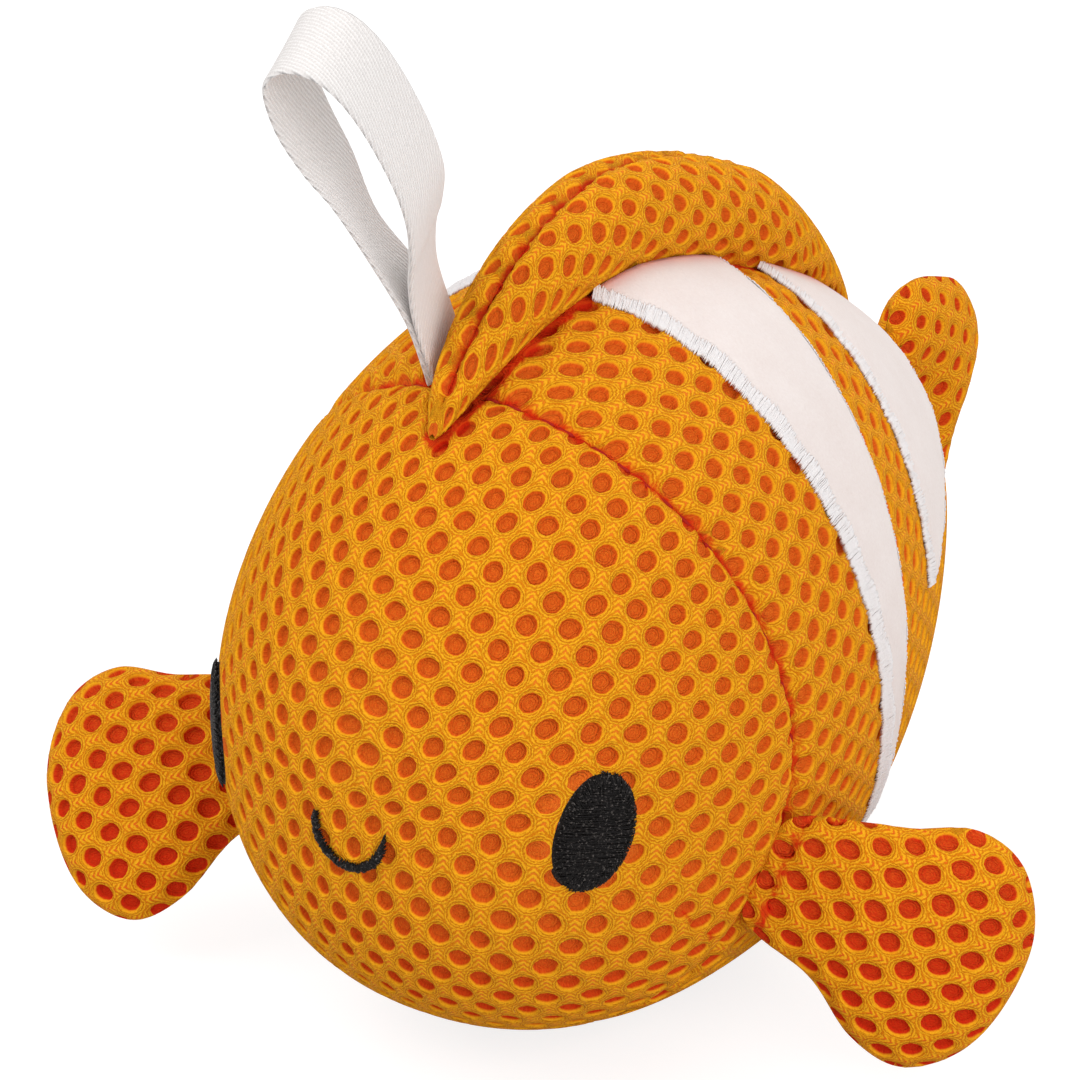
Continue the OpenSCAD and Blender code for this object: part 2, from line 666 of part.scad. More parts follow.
module squeaker_base() {
    color(bladder_white) at_squeaker()
        rotate_extrude($fn = round_steps) polygon(end_profile(reed_r + seat_gap));
}

module squeaker_bellows() {
    low = fold_low + seat_gap;
    step = (fold_high - fold_low - 2 * seat_gap) / fold_count / 2;
    edge = [for (i = [0 : 2 * fold_count]) [i % 2 == 0 ? bladder_r : bladder_r - fold_depth, low + i * step]];
    back = [for (i = [2 * fold_count : -1 : 0]) edge[i] - [bladder_wall, 0]];
    color(bladder_white) at_squeaker() rotate_extrude($fn = round_steps) polygon(concat(edge, back));
}

module squeaker_cap() {
    color(bladder_white) at_squeaker()
        translate([0, 0, bladder_h]) mirror([0, 0, 1])
            rotate_extrude($fn = round_steps) polygon(end_profile(0));
}

module squeaker_reed_holder() {
    color(reed_grey) at_squeaker() difference() {
        union() {
            cylinder(r = reed_r, h = reed_l, $fn = round_steps);
            translate([0, 0, bladder_wall + seat_gap])
                cylinder(r = reed_r + collar_w, h = collar_t, $fn = round_steps);
        }
        translate([0, 0, -overrun])
            cylinder(r = reed_r - holder_wall, h = reed_l + 2 * overrun, $fn = round_steps);
    }
}

// The reed is a thin tongue across the holder's bore, held along both its long edges
module squeaker_reed() {
    bore = reed_r - holder_wall - seat_gap;
    color(bladder_white) at_squeaker() translate([0, 0, collar_t]) intersection() {
        cylinder(r = bore, h = reed_l - 2 * collar_t, $fn = round_steps);
        translate([-bore, -reed_t / 2, 0]) cube([2 * bore, reed_t, reed_l]);
    }
}

face_panel();
left_side_panel();
right_side_panel();
left_front_stripe();
right_front_stripe();
left_rear_stripe();
right_rear_stripe();
dorsal_fin_left_panel();
dorsal_fin_right_panel();
dorsal_fin_filling();
left_fin_front_panel();
left_fin_back_panel();
left_fin_filling();
right_fin_front_panel();
right_fin_back_panel();
right_fin_filling();
tail_fin_left_panel();
tail_fin_right_panel();
tail_fin_filling();
hanging_loop();
left_eye_embroidery();
right_eye_embroidery();
mouth_embroidery();
body_filling();
squeaker_base();
squeaker_bellows();
squeaker_cap();
squeaker_reed_holder();
squeaker_reed();
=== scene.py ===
"""A stuffed clownfish bath toy, sewn from open spacer mesh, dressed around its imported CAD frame."""

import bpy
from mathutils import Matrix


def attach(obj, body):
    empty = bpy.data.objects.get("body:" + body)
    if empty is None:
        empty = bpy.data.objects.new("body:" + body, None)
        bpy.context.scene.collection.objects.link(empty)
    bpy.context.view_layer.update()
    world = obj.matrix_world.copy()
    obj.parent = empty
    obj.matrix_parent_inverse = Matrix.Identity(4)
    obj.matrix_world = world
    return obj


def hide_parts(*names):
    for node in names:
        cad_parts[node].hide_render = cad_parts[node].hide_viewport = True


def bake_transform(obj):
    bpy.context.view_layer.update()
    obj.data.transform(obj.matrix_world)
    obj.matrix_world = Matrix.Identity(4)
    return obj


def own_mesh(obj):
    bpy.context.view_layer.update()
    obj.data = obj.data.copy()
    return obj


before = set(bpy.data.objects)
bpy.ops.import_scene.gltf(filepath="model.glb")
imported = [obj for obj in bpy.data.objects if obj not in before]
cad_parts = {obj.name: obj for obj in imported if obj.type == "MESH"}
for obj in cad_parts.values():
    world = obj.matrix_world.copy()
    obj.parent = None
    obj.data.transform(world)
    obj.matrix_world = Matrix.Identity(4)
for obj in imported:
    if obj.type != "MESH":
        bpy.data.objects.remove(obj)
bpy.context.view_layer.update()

import math

import bpy
import numpy as np
from mathutils import Matrix, Vector

# Camera. It stands ahead of the fish, to its left and above it, as the photographer did, and far
# enough off for the long lens of a product shot.
BODY_MIDDLE = np.array([0.0, -28.505, 56.5])
view_turn = math.radians(32.1)
view_height = math.radians(25.43)
view_roll = math.radians(0.25)
view_distance = 0.85
photo_wide, photo_focal, photo_off = 1080, 5440, (-50.56, 99.92)
sensor = 36.0

view_right = Vector((math.cos(view_turn), math.sin(view_turn), 0))
view_back = Vector((math.sin(view_turn) * math.cos(view_height), -math.cos(view_turn) * math.cos(view_height),
                    math.sin(view_height)))
view_up = view_back.cross(view_right)
camera_data = bpy.data.cameras.new("camera")
camera_data.sensor_width = sensor
camera_data.lens = sensor * (photo_focal / photo_wide)
camera_data.shift_x, camera_data.shift_y = photo_off[0] / photo_wide, photo_off[1] / photo_wide
camera_data.clip_start = 0.05
camera_data.clip_end = 20
camera = bpy.data.objects.new("camera", camera_data)
bpy.context.scene.collection.objects.link(camera)
turned = Matrix((view_right * math.cos(view_roll) + view_up * math.sin(view_roll),
                 view_up * math.cos(view_roll) - view_right * math.sin(view_roll), view_back)).transposed()
camera.matrix_world = Matrix.Translation(Vector(BODY_MIDDLE / 1000) + view_back * view_distance) @ turned.to_4x4()
bpy.context.scene.camera = camera
bpy.context.scene.view_settings.view_transform = "Standard"


# Studio. A white floor that runs out of sight, a white surround, and three large soft lamps: one
# above and to the camera's left, one low fill at its right, and one behind.
def linear(red, green, blue):
    """Screen colour, 0 to 255, as the linear colour a shader takes."""
    c = np.array([red, green, blue]) / 255
    return (*np.where(c <= 0.04045, c / 12.92, ((c + 0.055) / 1.055) ** 2.4).tolist(), 1.0)


def new_material(name):
    """An empty material and its node tree."""
    material = bpy.data.materials.new(name)
    material.use_nodes = True
    material.node_tree.nodes.clear()
    return material, material.node_tree


def put(tree, kind, values=None, **settings):
    """Adds a node. Values go to its inputs by name or place: a socket is linked, anything else is set."""
    made = tree.nodes.new(kind)
    for key, value in settings.items():
        setattr(made, key, value)
    for key, value in (values or {}).items():
        if isinstance(value, bpy.types.NodeSocket):
            tree.links.new(value, made.inputs[key])
        else:
            made.inputs[key].default_value = value
    return made


def calc(tree, operation, a, b=0.0, c=0.0, clamp=False):
    """One Math node's result."""
    return put(tree, "ShaderNodeMath", {0: a, 1: b, 2: c}, operation=operation, use_clamp=clamp).outputs[0]


def mix(tree, share, a, b):
    """Colour a, b, or between them."""
    return put(tree, "ShaderNodeMix", {0: share, 6: a, 7: b}, data_type="RGBA").outputs[2]


def noise(tree, place, scale, detail=2.0, roughness=0.5, distortion=0.0, output=0):
    """A noise texture's value, or its colour."""
    return put(tree, "ShaderNodeTexNoise", {"Vector": place, "Scale": scale, "Detail": detail, "Roughness": roughness,
                                            "Distortion": distortion}).outputs[output]


def on_object(tree):
    """Place in the object, in metres."""
    return put(tree, "ShaderNodeTexCoord").outputs["Object"]


def attribute(tree, name):
    """Value of a mesh's attribute."""
    return put(tree, "ShaderNodeAttribute", attribute_name=name).outputs["Fac"]


def surface(tree, colour, relief, strength, deep, roughness, values):
    """Ends a material: its relief as bump, deep metres at most, on a principled shader."""
    bump = put(tree, "ShaderNodeBump", {"Height": relief, "Strength": strength, "Distance": deep})
    shader = put(tree, "ShaderNodeBsdfPrincipled", {"Base Color": colour, "Normal": bump.outputs[0],
                                                    "Roughness": roughness, **values})
    put(tree, "ShaderNodeOutputMaterial", {"Surface": shader.outputs[0]})


def seen(tree):
    """1 for what the camera, a mirror or glass sees, 0 for the light that falls on the object."""
    path = put(tree, "ShaderNodeLightPath")
    some = calc(tree, "MAXIMUM", path.outputs["Is Camera Ray"], path.outputs["Is Glossy Ray"])
    return calc(tree, "MAXIMUM", some, path.outputs["Is Transmission Ray"])


floor_own_light = 0.8
floor_bounce = 0.55
surround_light = 0.68
lamps = [("key_lamp", (-0.55, -0.75, 1.05), 0.9, 6.2), ("fill_lamp", (0.95, -0.6, 0.55), 0.9, 6.0),
         ("back_lamp", (0.1, 0.95, 0.9), 0.9, 4.2)]

floor_material, tree = new_material("floor_white")
lit = put(tree, "ShaderNodeBsdfDiffuse", {"Color": (floor_bounce, floor_bounce, floor_bounce, 1)})
shown = put(tree, "ShaderNodeAddShader", {
    0: put(tree, "ShaderNodeBsdfDiffuse", {"Color": (0.34, 0.34, 0.34, 1)}).outputs[0],
    1: put(tree, "ShaderNodeEmission", {"Color": (1, 1, 1, 1), "Strength": floor_own_light}).outputs[0]})
mixed = put(tree, "ShaderNodeMixShader", {0: seen(tree), 1: lit.outputs[0], 2: shown.outputs[0]})
put(tree, "ShaderNodeOutputMaterial", {"Surface": mixed.outputs[0]})
floor_mesh = bpy.data.meshes.new("floor")
floor_mesh.from_pydata([(-6, -6, 0), (6, -6, 0), (6, 6, 0), (-6, 6, 0)], [], [(0, 1, 2, 3)])
floor_mesh.materials.append(floor_material)
floor = bpy.data.objects.new("floor", floor_mesh)
bpy.context.scene.collection.objects.link(floor)

world = bpy.data.worlds.new("surround")
bpy.context.scene.world = world
world.use_nodes = True
world.node_tree.nodes.clear()
tree = world.node_tree
strength = calc(tree, "MULTIPLY_ADD", seen(tree), 1 - surround_light, surround_light)
put(tree, "ShaderNodeOutputWorld", {"Surface": put(tree, "ShaderNodeBackground", {
    "Color": (1, 1, 1, 1), "Strength": strength}).outputs[0]})
for name, place, size, power in lamps:
    lamp = bpy.data.lights.new(name, "AREA")
    lamp.size = size
    lamp.energy = power
    stand = bpy.data.objects.new(name, lamp)
    stand.location = place
    aim = Vector(BODY_MIDDLE / 1000) - stand.location
    stand.rotation_euler = aim.to_track_quat("-Z", "Y").to_euler()
    bpy.context.scene.collection.objects.link(stand)


# Face panel. One round of orange spacer mesh, domed over the filling from the nose to the head
# seam: an open knitted net of round holes, held off a red-orange backing by its spacer yarns.
NOSE, RUMP, SIDE, BACK, BELLY, BELLY_BACK = 66.5, 98.5, 47.0, 64.0, 57.0, 7.0
TOP_CURVE, BELLY_CURVE = 1.86, 2.17
SIDE_POWERS, BACK_POWERS, BELLY_POWERS = (2.5, 1.47), (2.1, 1.47), (2.5, 1.8)
SEAM_FRONT, SEAM_TOP, SEAM_UNDER, SEAM_BOW = 14.5, 20.5, 18.0, 1.6


def unit(v):
    """Vectors of the same way and length 1."""
    return v / np.linalg.norm(v, axis=-1, keepdims=True)


def swell(u, power):
    """Falls from 1 at 0 to 0 at 1 along a superellipse."""
    return np.maximum(1 - np.abs(u) ** power, 0) ** (1 / power)


def along(y, middle, front, rear, front_power, rear_power):
    """Share of the full size at y, with its own length and power ahead of the middle and behind it."""
    ahead = swell((y - middle) / (front + middle), front_power)
    behind = swell((y - middle) / (rear - middle), rear_power)
    return np.where(y < middle, ahead, behind)


def reaches(y, lift=0.0):
    """Half width, height and depth of the body at y, grown by lift."""
    nose, rump = NOSE + lift, RUMP + lift
    return ((SIDE + lift) * along(y, 0, nose, rump, *SIDE_POWERS),
            (BACK + lift) * along(y, 0, nose, rump, *BACK_POWERS),
            (BELLY + lift) * along(y, BELLY_BACK, nose, rump, *BELLY_POWERS))


def section(y, z, lift=0.0):
    """Half width of the body at y, and its reach up or down and its curve's power on the side of z."""
    side, back, belly = reaches(y, lift)
    return side, np.where(z >= 0, back, belly), np.where(z >= 0, TOP_CURVE, BELLY_CURVE)


def skin(y, a, lift=0.0):
    """Point of the body at y and angle a of its section: x = side cos^m a, z = reach sin^m a, with m = 2 / power."""
    y, a = np.broadcast_arrays(y, a)
    side, reach, power = section(y, np.sin(a), lift)
    across = side * np.sign(np.cos(a)) * np.abs(np.cos(a)) ** (2 / power)
    height = reach * np.sign(np.sin(a)) * np.abs(np.sin(a)) ** (2 / power)
    return np.stack([across, y, height], -1)


def outward(p):
    """Unit normal of the body at p: the gradient of (|x| / side)^power + (|z| / reach)^power."""
    y = np.clip(p[..., 1], 0.02 - NOSE, RUMP - 0.02)
    step = 0.01
    side, reach, power = section(y, p[..., 2])
    side_on, reach_on, _ = section(y + step, p[..., 2])
    x, z = np.abs(p[..., 0]) / side, np.abs(p[..., 2]) / reach
    n = np.stack([np.sign(p[..., 0]) * x ** (power - 1) / side,
                  -(x ** power * (side_on - side) / side + z ** power * (reach_on - reach) / reach) / step,
                  np.sign(p[..., 2]) * z ** (power - 1) / reach], -1)
    return unit(n)


def head_seam(a):
    """Where the head seam lies at angle a: it bows forward at the back and the belly."""
    return -(SEAM_FRONT + np.where(np.sin(a) > 0, SEAM_TOP, SEAM_UNDER) * np.abs(np.sin(a)) ** SEAM_BOW)


def look_up(table, i, j):
    """Value of a table between its rows and columns, weighed by distance."""
    i, j = np.clip(i, 0, len(table) - 1.001), np.clip(j, 0, table.shape[1] - 1.001)
    r, c = i.astype(int), j.astype(int)
    f, g = i - r, j - c
    low = table[r, c] * (1 - g) + table[r, c + 1] * g
    high = table[r + 1, c] * (1 - g) + table[r + 1, c + 1] * g
    return low * (1 - f) + high * f


def lengths(p):
    """Length along each row of points from its first."""
    steps = np.linalg.norm(np.diff(p, axis=1), axis=2)
    return np.concatenate([np.zeros((len(p), 1)), np.cumsum(steps, axis=1)], axis=1)


def on_line(at, run, line):
    """Points at these lengths along a line of points."""
    return np.stack([np.interp(at, run, line[:, k]) for k in range(3)], -1)


def by_length(value, length, count=160):
    """The row's value at even shares of its length, as a table, and each row's whole length."""
    whole = length[:, -1]
    shares = np.linspace(0, 1, count)
    return np.array([np.interp(shares * w, l, v) for v, l, w in zip(value, length, whole)]), whole


# What is sewn onto the body presses a crease into the mesh round it: the roll along its back, and
# the roots of the fins; the red in these creases is painted shade. A short dart takes in the cheek under the left fin.
# The eyes only flatten the mesh.
EYE_H, EYE_W, EYE_FRONT, EYE_Z, EYE_TILT = 19.0, 12.0, 52.5, -1.5, math.radians(9)
DORSAL_FRONT, DORSAL_LONG, DORSAL_HIGH, DORSAL_MIDDLE, DORSAL_PRESS = 44.0, 124.0, 16.5, 0.71, 3.4
dorsal_foot_turn = math.radians(40)


def back_at(y, x, lift):
    """Height of the back at y and a distance x from the middle."""
    side, back, _ = reaches(y, lift)
    return back * swell(x / side, TOP_CURVE)


def dorsal_r(y):
    """Radius of the roll at y: it swells along a circle up to its middle, and thins faster behind it."""
    share = along(y, DORSAL_LONG * DORSAL_MIDDLE - DORSAL_FRONT, DORSAL_FRONT, DORSAL_LONG - DORSAL_FRONT, 2, 1.3)
    return DORSAL_HIGH * share / (1 + math.sin(dorsal_foot_turn))


def dorsal_z(y):
    """Height of the roll's middle, where its foot meets the back."""
    r = dorsal_r(y)
    return back_at(y, r * math.cos(dorsal_foot_turn), 0.4) + r * math.sin(dorsal_foot_turn)


# Each fin's root, the way its seam runs and half the seam's length.
fin_roots = {"left_fin": ((45.7575, -46.2394, 35.0509), (.2829, .2294, .9313), 10.75),
             "right_fin": ((-45.2648, -50.7394, 35.3439), (-.4858, .4271, .7626), 10.75),
             "tail_fin": ((0, 70.8052, 52.5), (0, 0, 1), 10.5)}
creases = [(np.array(root) - BODY_MIDDLE, np.array(way), half, 1.5, 5.0) for root, way, half in fin_roots.values()]
creases.append((np.array([38.5, -30.5, -26.0]), np.array([-0.08, 0.74, -0.66]), 6.0, 0.2, 1.6))


def pressed(p):
    """1 where the roll's foot, a fin's root or the dart presses on the mesh, falling to 0 at its reach from there."""
    y = np.clip(p[:, 1], 0.2 - DORSAL_FRONT, DORSAL_LONG - DORSAL_FRONT - 0.2)
    away = np.hypot(np.hypot(p[:, 0], p[:, 2] - dorsal_z(y)) - dorsal_r(y), p[:, 1] - y)
    near = 1 - away / DORSAL_PRESS
    for middle, way, half, thick, reach in creases:
        off = p - middle
        held = np.clip(off @ way, -half, half)[:, None] * way
        near = np.maximum(near, 1 - np.maximum(np.linalg.norm(off - held, axis=1) - thick, 0) / reach)
    return np.clip(near, 0, 1)


# The holes lie 6.5 mm apart in a row, in rows 3.8 mm apart that are staggered by half. They differ a little in size,
# place and outline, as knitted holes do.
ROW_PITCH, ROW_STEP, HOLE_R = 6.5, 3.8, 1.6
SIZE_SPREAD, PLACE_SPREAD, OUTLINE_SPREAD = 0.035, 0.07, 0.03
RING_R = np.array([1.17, 1.04, 0.97])
RING_DEPTH = np.array([0.0, 0.4, 1.3])
FLOOR_DEPTH = 1.2


def mesh_cells(u_span, v_span, seed, hole):
    """Every hole gets a six-sided cell: its outline, three rings down the hole, and the middle of its floor.
    Gives points u and v on the cloth, their depth, the distance from the hole's middle, and triangles."""
    half = ROW_PITCH / 2
    bisector = (half ** 2 + ROW_STEP ** 2) / 2
    low, top = (bisector - half ** 2) / ROW_STEP, bisector / ROW_STEP
    corners = np.array([[half, -low], [half, low], [0, top], [-half, low], [-half, -low], [0, -top]])
    counts = [1, 3, 3, 1, 3, 3]
    outline = np.concatenate([corners[k] + (corners[(k + 1) % 6] - corners[k]) * np.arange(n)[:, None] / n
                              for k, n in enumerate(counts)])
    n = len(outline)
    turn = np.arctan2(outline[:, 1], outline[:, 0])
    rows = np.arange(math.floor(v_span[0] / ROW_STEP), math.ceil(v_span[1] / ROW_STEP) + 1)
    columns = np.arange(math.floor(u_span[0] / ROW_PITCH) - 1, math.ceil(u_span[1] / ROW_PITCH) + 1)
    row, column = [g.ravel() for g in np.meshgrid(rows, columns, indexing="ij")]
    middle = np.stack([(column + (row % 2) / 2) * ROW_PITCH, row * ROW_STEP], -1)
    chance = np.random.default_rng(seed)
    size = hole * (1 + chance.normal(0, SIZE_SPREAD, len(row)))
    nudge = chance.normal(0, PLACE_SPREAD, (len(row), 2))
    uneven = 1 + chance.normal(0, OUTLINE_SPREAD, (len(row), 1, n))
    uneven = uneven + 0.05 * np.cos(2 * turn + chance.uniform(0, 6.3, (len(row), 1, 1)))
    round_way = np.stack([np.cos(turn), np.sin(turn)], -1)
    wide = size[:, None, None] * RING_R[None, :, None] * uneven
    rings = (middle + nudge)[:, None, None] + wide[..., None] * round_way
    points = np.concatenate([middle[:, None] + outline, rings.reshape(len(row), -1, 2),
                             (middle + nudge)[:, None]], axis=1)
    waist = 0.12 * np.exp(-((np.abs(turn[:, None] - np.radians([50, 130, -50, -130])).min(1)) / 0.35) ** 2)
    depth = np.concatenate([waist, np.repeat(RING_DEPTH, n), [FLOOR_DEPTH]])
    distance = np.concatenate([np.full(n, 1.75), np.repeat(RING_R, n), [0.0]])
    j = np.arange(n)
    k = (j + 1) % n
    bands = [np.concatenate([np.stack([b + j, b + k, b + n + k], 1), np.stack([b + j, b + n + k, b + n + j], 1)])
             for b in range(0, 3 * n, n)]
    fan = np.stack([3 * n + j, 3 * n + k, np.full(n, 4 * n)], 1)
    cell = np.concatenate(bands + [fan])
    triangles = (cell[None] + (np.arange(len(row)) * points.shape[1])[:, None, None]).reshape(-1, 3)
    flat = points.reshape(-1, 2)
    return flat[:, 0], flat[:, 1], np.tile(depth, len(row)), np.tile(distance, len(row)), triangles


def add_piece(name, points, faces, material, uv=None, values=None, smooth=True):
    """Puts a mesh of points, in millimetres from the body's middle, into the scene, with cloth map and attributes."""
    mesh = bpy.data.meshes.new(name)
    mesh.from_pydata(((points + BODY_MIDDLE) / 1000).tolist(), [], faces.tolist())
    corners = np.empty(len(mesh.loops), np.int32)
    mesh.loops.foreach_get("vertex_index", corners)
    if uv is not None:
        mesh.uv_layers.new(name="cloth").data.foreach_set("uv", uv[corners].astype(np.float32).ravel())
    for key, value in (values or {}).items():
        mesh.attributes.new(key, "FLOAT", "POINT").data.foreach_set("value", value.astype(np.float32))
    mesh.polygons.foreach_set("use_smooth", np.full(len(mesh.polygons), smooth))
    mesh.materials.append(material)
    mesh.update()
    piece = bpy.data.objects.new(name, mesh)
    bpy.context.scene.collection.objects.link(piece)
    return piece


def ring_walls(rings, count):
    """Two triangles for each step of a ring of so many points, between it and the next of the rings."""
    i, j = [g.ravel() for g in np.meshgrid(np.arange(rings - 1), np.arange(count), indexing="ij")]
    a, b = i * count + j, i * count + (j + 1) % count
    return np.concatenate([np.stack([a, b, b + count], 1), np.stack([a, b + count, a + count], 1)])


def weld(points, faces, extras):
    """Joins points that share a place, and drops triangles that this leaves without area."""
    _, first, which = np.unique(np.round(points * 500).astype(np.int64), axis=0, return_index=True, return_inverse=True)
    faces = which.ravel()[faces]
    whole = (faces[:, 0] != faces[:, 1]) & (faces[:, 1] != faces[:, 2]) & (faces[:, 2] != faces[:, 0])
    faces = faces[whole]
    used = np.unique(faces)
    new = np.zeros(len(first), int)
    new[used] = np.arange(len(used))
    return points[first[used]], new[faces], [e[first[used]] for e in extras]


def net_piece(name, place, u_span, v_span, seed, material, dip=1.6, dip_width=3.0, pucker=0.35, mirrored=False,
              on_body=True, hole=HOLE_R):
    """A panel of mesh. place(u, v) gives a cloth point's place on the body, its normal, how far it lies inside
    the panel, 0 beyond it, and how far from a seam. The cloth sinks by dip (1 - distance / width)^2 into a
    seam, and puckers beside it by pucker sin sin, of 4 mm waves, which fade as exp(-(distance / 2.2)^2)."""
    u, v, depth, distance, faces = mesh_cells(u_span, v_span, seed, hole)
    p, n, edge, seam = place(u, v)
    inside = edge > 0
    faces = faces[inside[faces].any(axis=1)]
    real = p * ([-1, 1, 1] if mirrored else [1, 1, 1])
    waves = np.sin(real @ [1.1, 1.3, 0.9]) * np.sin(real @ [-0.8, 0.9, 1.3])
    sink = dip * np.maximum(1 - seam / dip_width, 0) ** 2 + pucker * (waves + 0.6) * np.exp(-(seam / 2.2) ** 2)
    crease = pressed(real) if on_body else 0 * edge
    sink = sink + 0.8 * crease ** 2
    lowered = depth * np.clip(edge / 0.9, 0, 1)
    if on_body:
        off_eye = np.hypot((real[:, 1] + EYE_FRONT) / (EYE_W / 2), (real[:, 2] - EYE_Z) / (EYE_H / 2 + 0.5))
        lowered = lowered * np.clip((off_eye - 0.9) * 4, 0, 1)
    points = p - n * (sink + lowered)[:, None]
    # Seam red: at the seams partly the red thread and backing, partly painted shade in the groove; in the creases it is
    # painted shade.
    near = np.maximum(np.clip(1 - seam / 3, 0, 1), 1.25 * crease)
    points, faces, (uv, depth, distance, near) = weld(points, faces, [np.stack([u, v], -1), depth, distance, near])
    if mirrored:
        points = points * [-1, 1, 1]
        faces = faces[:, ::-1]
    return add_piece(name, points, faces, material, uv,
                     {"hole_depth": depth, "hole_distance": distance, "seam_and_crease_shade": near})


# Knit. Strands bind each hole in two rounds, by the distance to the nearest hole of the staggered rows. In the
# wider places beside a hole, where the rounds end, they cross in a ladder of small chevrons.
knit = bpy.data.node_groups.new("spacer mesh knit", "ShaderNodeTree")
for label in ("Yarn", "Gap", "Backing", "Shade", "Seam"):
    knit.interface.new_socket(label, in_out="INPUT", socket_type="NodeSocketColor")
knit.interface.new_socket("Colour", in_out="OUTPUT", socket_type="NodeSocketColor")
knit.interface.new_socket("Height", in_out="OUTPUT", socket_type="NodeSocketFloat")
knit_in = put(knit, "NodeGroupInput")
cloth_map = put(knit, "ShaderNodeUVMap", uv_map="cloth").outputs[0]
knit_place = on_object(knit)


def wave(tree, value, period, start=0.0):
    """0 to 1 and back, once in each period, from its crest at start."""
    turn = calc(tree, "MULTIPLY_ADD", value, 2 * math.pi / period, -2 * math.pi * start / period)
    return calc(tree, "MULTIPLY_ADD", calc(tree, "COSINE", turn), 0.5, 0.5)


def ramp(tree, value, low, high, at_low=0.0, at_high=1.0):
    """at_low up to low, at_high from high on, smooth between."""
    return put(tree, "ShaderNodeMapRange", {0: value, 1: low, 2: high, 3: at_low, 4: at_high},
               interpolation_type="SMOOTHSTEP").outputs[0]


loose, kinked = [put(knit, "ShaderNodeSeparateColor", {0: noise(knit, cloth_map, *how, output="Color")})
                 for how in ((1.1, 3.0, 0.6), (2.6, 2.0))]
cloth = put(knit, "ShaderNodeSeparateXYZ", {0: cloth_map})
u, v = [calc(knit, "ADD", cloth.outputs[k], calc(
    knit, "ADD", calc(knit, "MULTIPLY_ADD", loose.outputs[k], 0.6, -0.3),
    calc(knit, "MULTIPLY_ADD", kinked.outputs[k], 0.36, -0.18))) for k in (0, 1)]


def from_hole(du, dv):
    """Distance to a hole, drawn in a little along the wales, so that the strands of a column run together."""
    drawn = calc(knit, "MULTIPLY", dv, calc(knit, "MULTIPLY", dv, 0.9))
    return calc(knit, "SQRT", calc(knit, "ADD", calc(knit, "MULTIPLY", du, du), drawn))


even_u, even_v = calc(knit, "PINGPONG", u, ROW_PITCH / 2), calc(knit, "PINGPONG", v, ROW_STEP)
odd_u, odd_v = calc(knit, "SUBTRACT", ROW_PITCH / 2, even_u), calc(knit, "SUBTRACT", ROW_STEP, even_v)
near_hole = calc(knit, "MINIMUM", from_hole(even_u, even_v), from_hole(odd_u, odd_v))
twist = calc(knit, "SINE", calc(knit, "MULTIPLY", calc(knit, "ADD", u, v), 2 * math.pi / 0.8))
strand = wave(knit, calc(knit, "MULTIPLY_ADD", twist, 0.03, near_hole), 0.43, HOLE_R + 0.17)
off_column = calc(knit, "MINIMUM", even_u, odd_u)
chevron = wave(knit, calc(knit, "MULTIPLY_ADD", off_column, 0.9, v), 0.95)
ladder = ramp(knit, near_hole, 2.3, 2.55)
distance = attribute(knit, "hole_distance")
bound = calc(knit, "MULTIPLY", ramp(knit, distance, 1.0, 1.04), ramp(knit, distance, 1.19, 1.09))
rungs = calc(knit, "MULTIPLY_ADD", chevron, 0.75, 0.15)
woven = put(knit, "ShaderNodeMix", {0: ladder, 2: strand, 3: rungs}, data_type="FLOAT").outputs[0]
strands = calc(knit, "MAXIMUM", woven, bound)
fuzz = noise(knit, knit_place, 3600.0, 3.0, 0.7)
lit_yarn = calc(knit, "ADD", ramp(knit, strands, 0.15, 0.85, 0.0, 0.9), calc(knit, "MULTIPLY_ADD", fuzz, 2.6, -1.25),
                clamp=True)
top = mix(knit, lit_yarn, knit_in.outputs["Gap"], knit_in.outputs["Yarn"])
pits = calc(knit, "MULTIPLY", ramp(knit, off_column, 0.45, 0.25), ladder)
pits = calc(knit, "MULTIPLY", pits, ramp(knit, chevron, 0.4, 0.15))
top = mix(knit, calc(knit, "MULTIPLY", pits, 0.8), top, knit_in.outputs["Backing"])
depth = attribute(knit, "hole_depth")
fibres = noise(knit, put(knit, "ShaderNodeMapping", {0: cloth_map, 3: (5.0, 1.2, 1.0)}).outputs[0], 1.0, 3.0, 0.7)
backing = mix(knit, ramp(knit, fibres, 0.36, 0.66), knit_in.outputs["Shade"], knit_in.outputs["Backing"])
# Painted shade: the hole floors turn to the seam red towards the bottom of the body, where they lie in shade.
painted_low_shade = ramp(knit, put(knit, "ShaderNodeSeparateXYZ", {0: knit_place}).outputs[2], 0.008, 0.05, 0.75, 0.0)
backing = mix(knit, painted_low_shade, backing, knit_in.outputs["Seam"])
faced = mix(knit, ramp(knit, depth, 0.25, 0.75), top, backing)
# Painted shade: the seam red laid into the seam grooves and the creases, over the real red of the seams.
seam_crease_shade = attribute(knit, "seam_and_crease_shade")
ragged = noise(knit, knit_place, 420.0, 3.0)
seam_shade_share = calc(knit, "ADD", calc(knit, "POWER", seam_crease_shade, 2.2), calc(knit, "MULTIPLY_ADD", ragged, 1.6, -0.8))
seam_shaded = mix(knit, calc(knit, "MULTIPLY", ramp(knit, seam_shade_share, 0.35, 1.0), 0.9), faced, knit_in.outputs["Seam"])
height = calc(knit, "ADD", calc(knit, "MULTIPLY", strands, 0.8), calc(knit, "MULTIPLY", fuzz, 0.35))
put(knit, "NodeGroupOutput", {"Colour": seam_shaded, "Height": height})


def knit_material(name, yarn, gap, backing, shade):
    """Matt polyester yarn over its backing."""
    material, tree = new_material(name)
    cloth = put(tree, "ShaderNodeGroup", node_tree=knit)
    # The last colour is the seam red, which also serves as painted shade in creases, seam grooves and low hole floors.
    for socket, colour in zip(cloth.inputs, (yarn, gap, backing, shade, (214, 34, 12))):
        socket.default_value = linear(*colour)
    surface(tree, cloth.outputs["Colour"], cloth.outputs["Height"], 0.6, 0.00035, 0.85, {"Specular IOR Level": 0.1})
    return material


body_mesh = knit_material("orange_mesh", (245, 174, 28), (210, 118, 8), (234, 116, 32), (218, 90, 22))

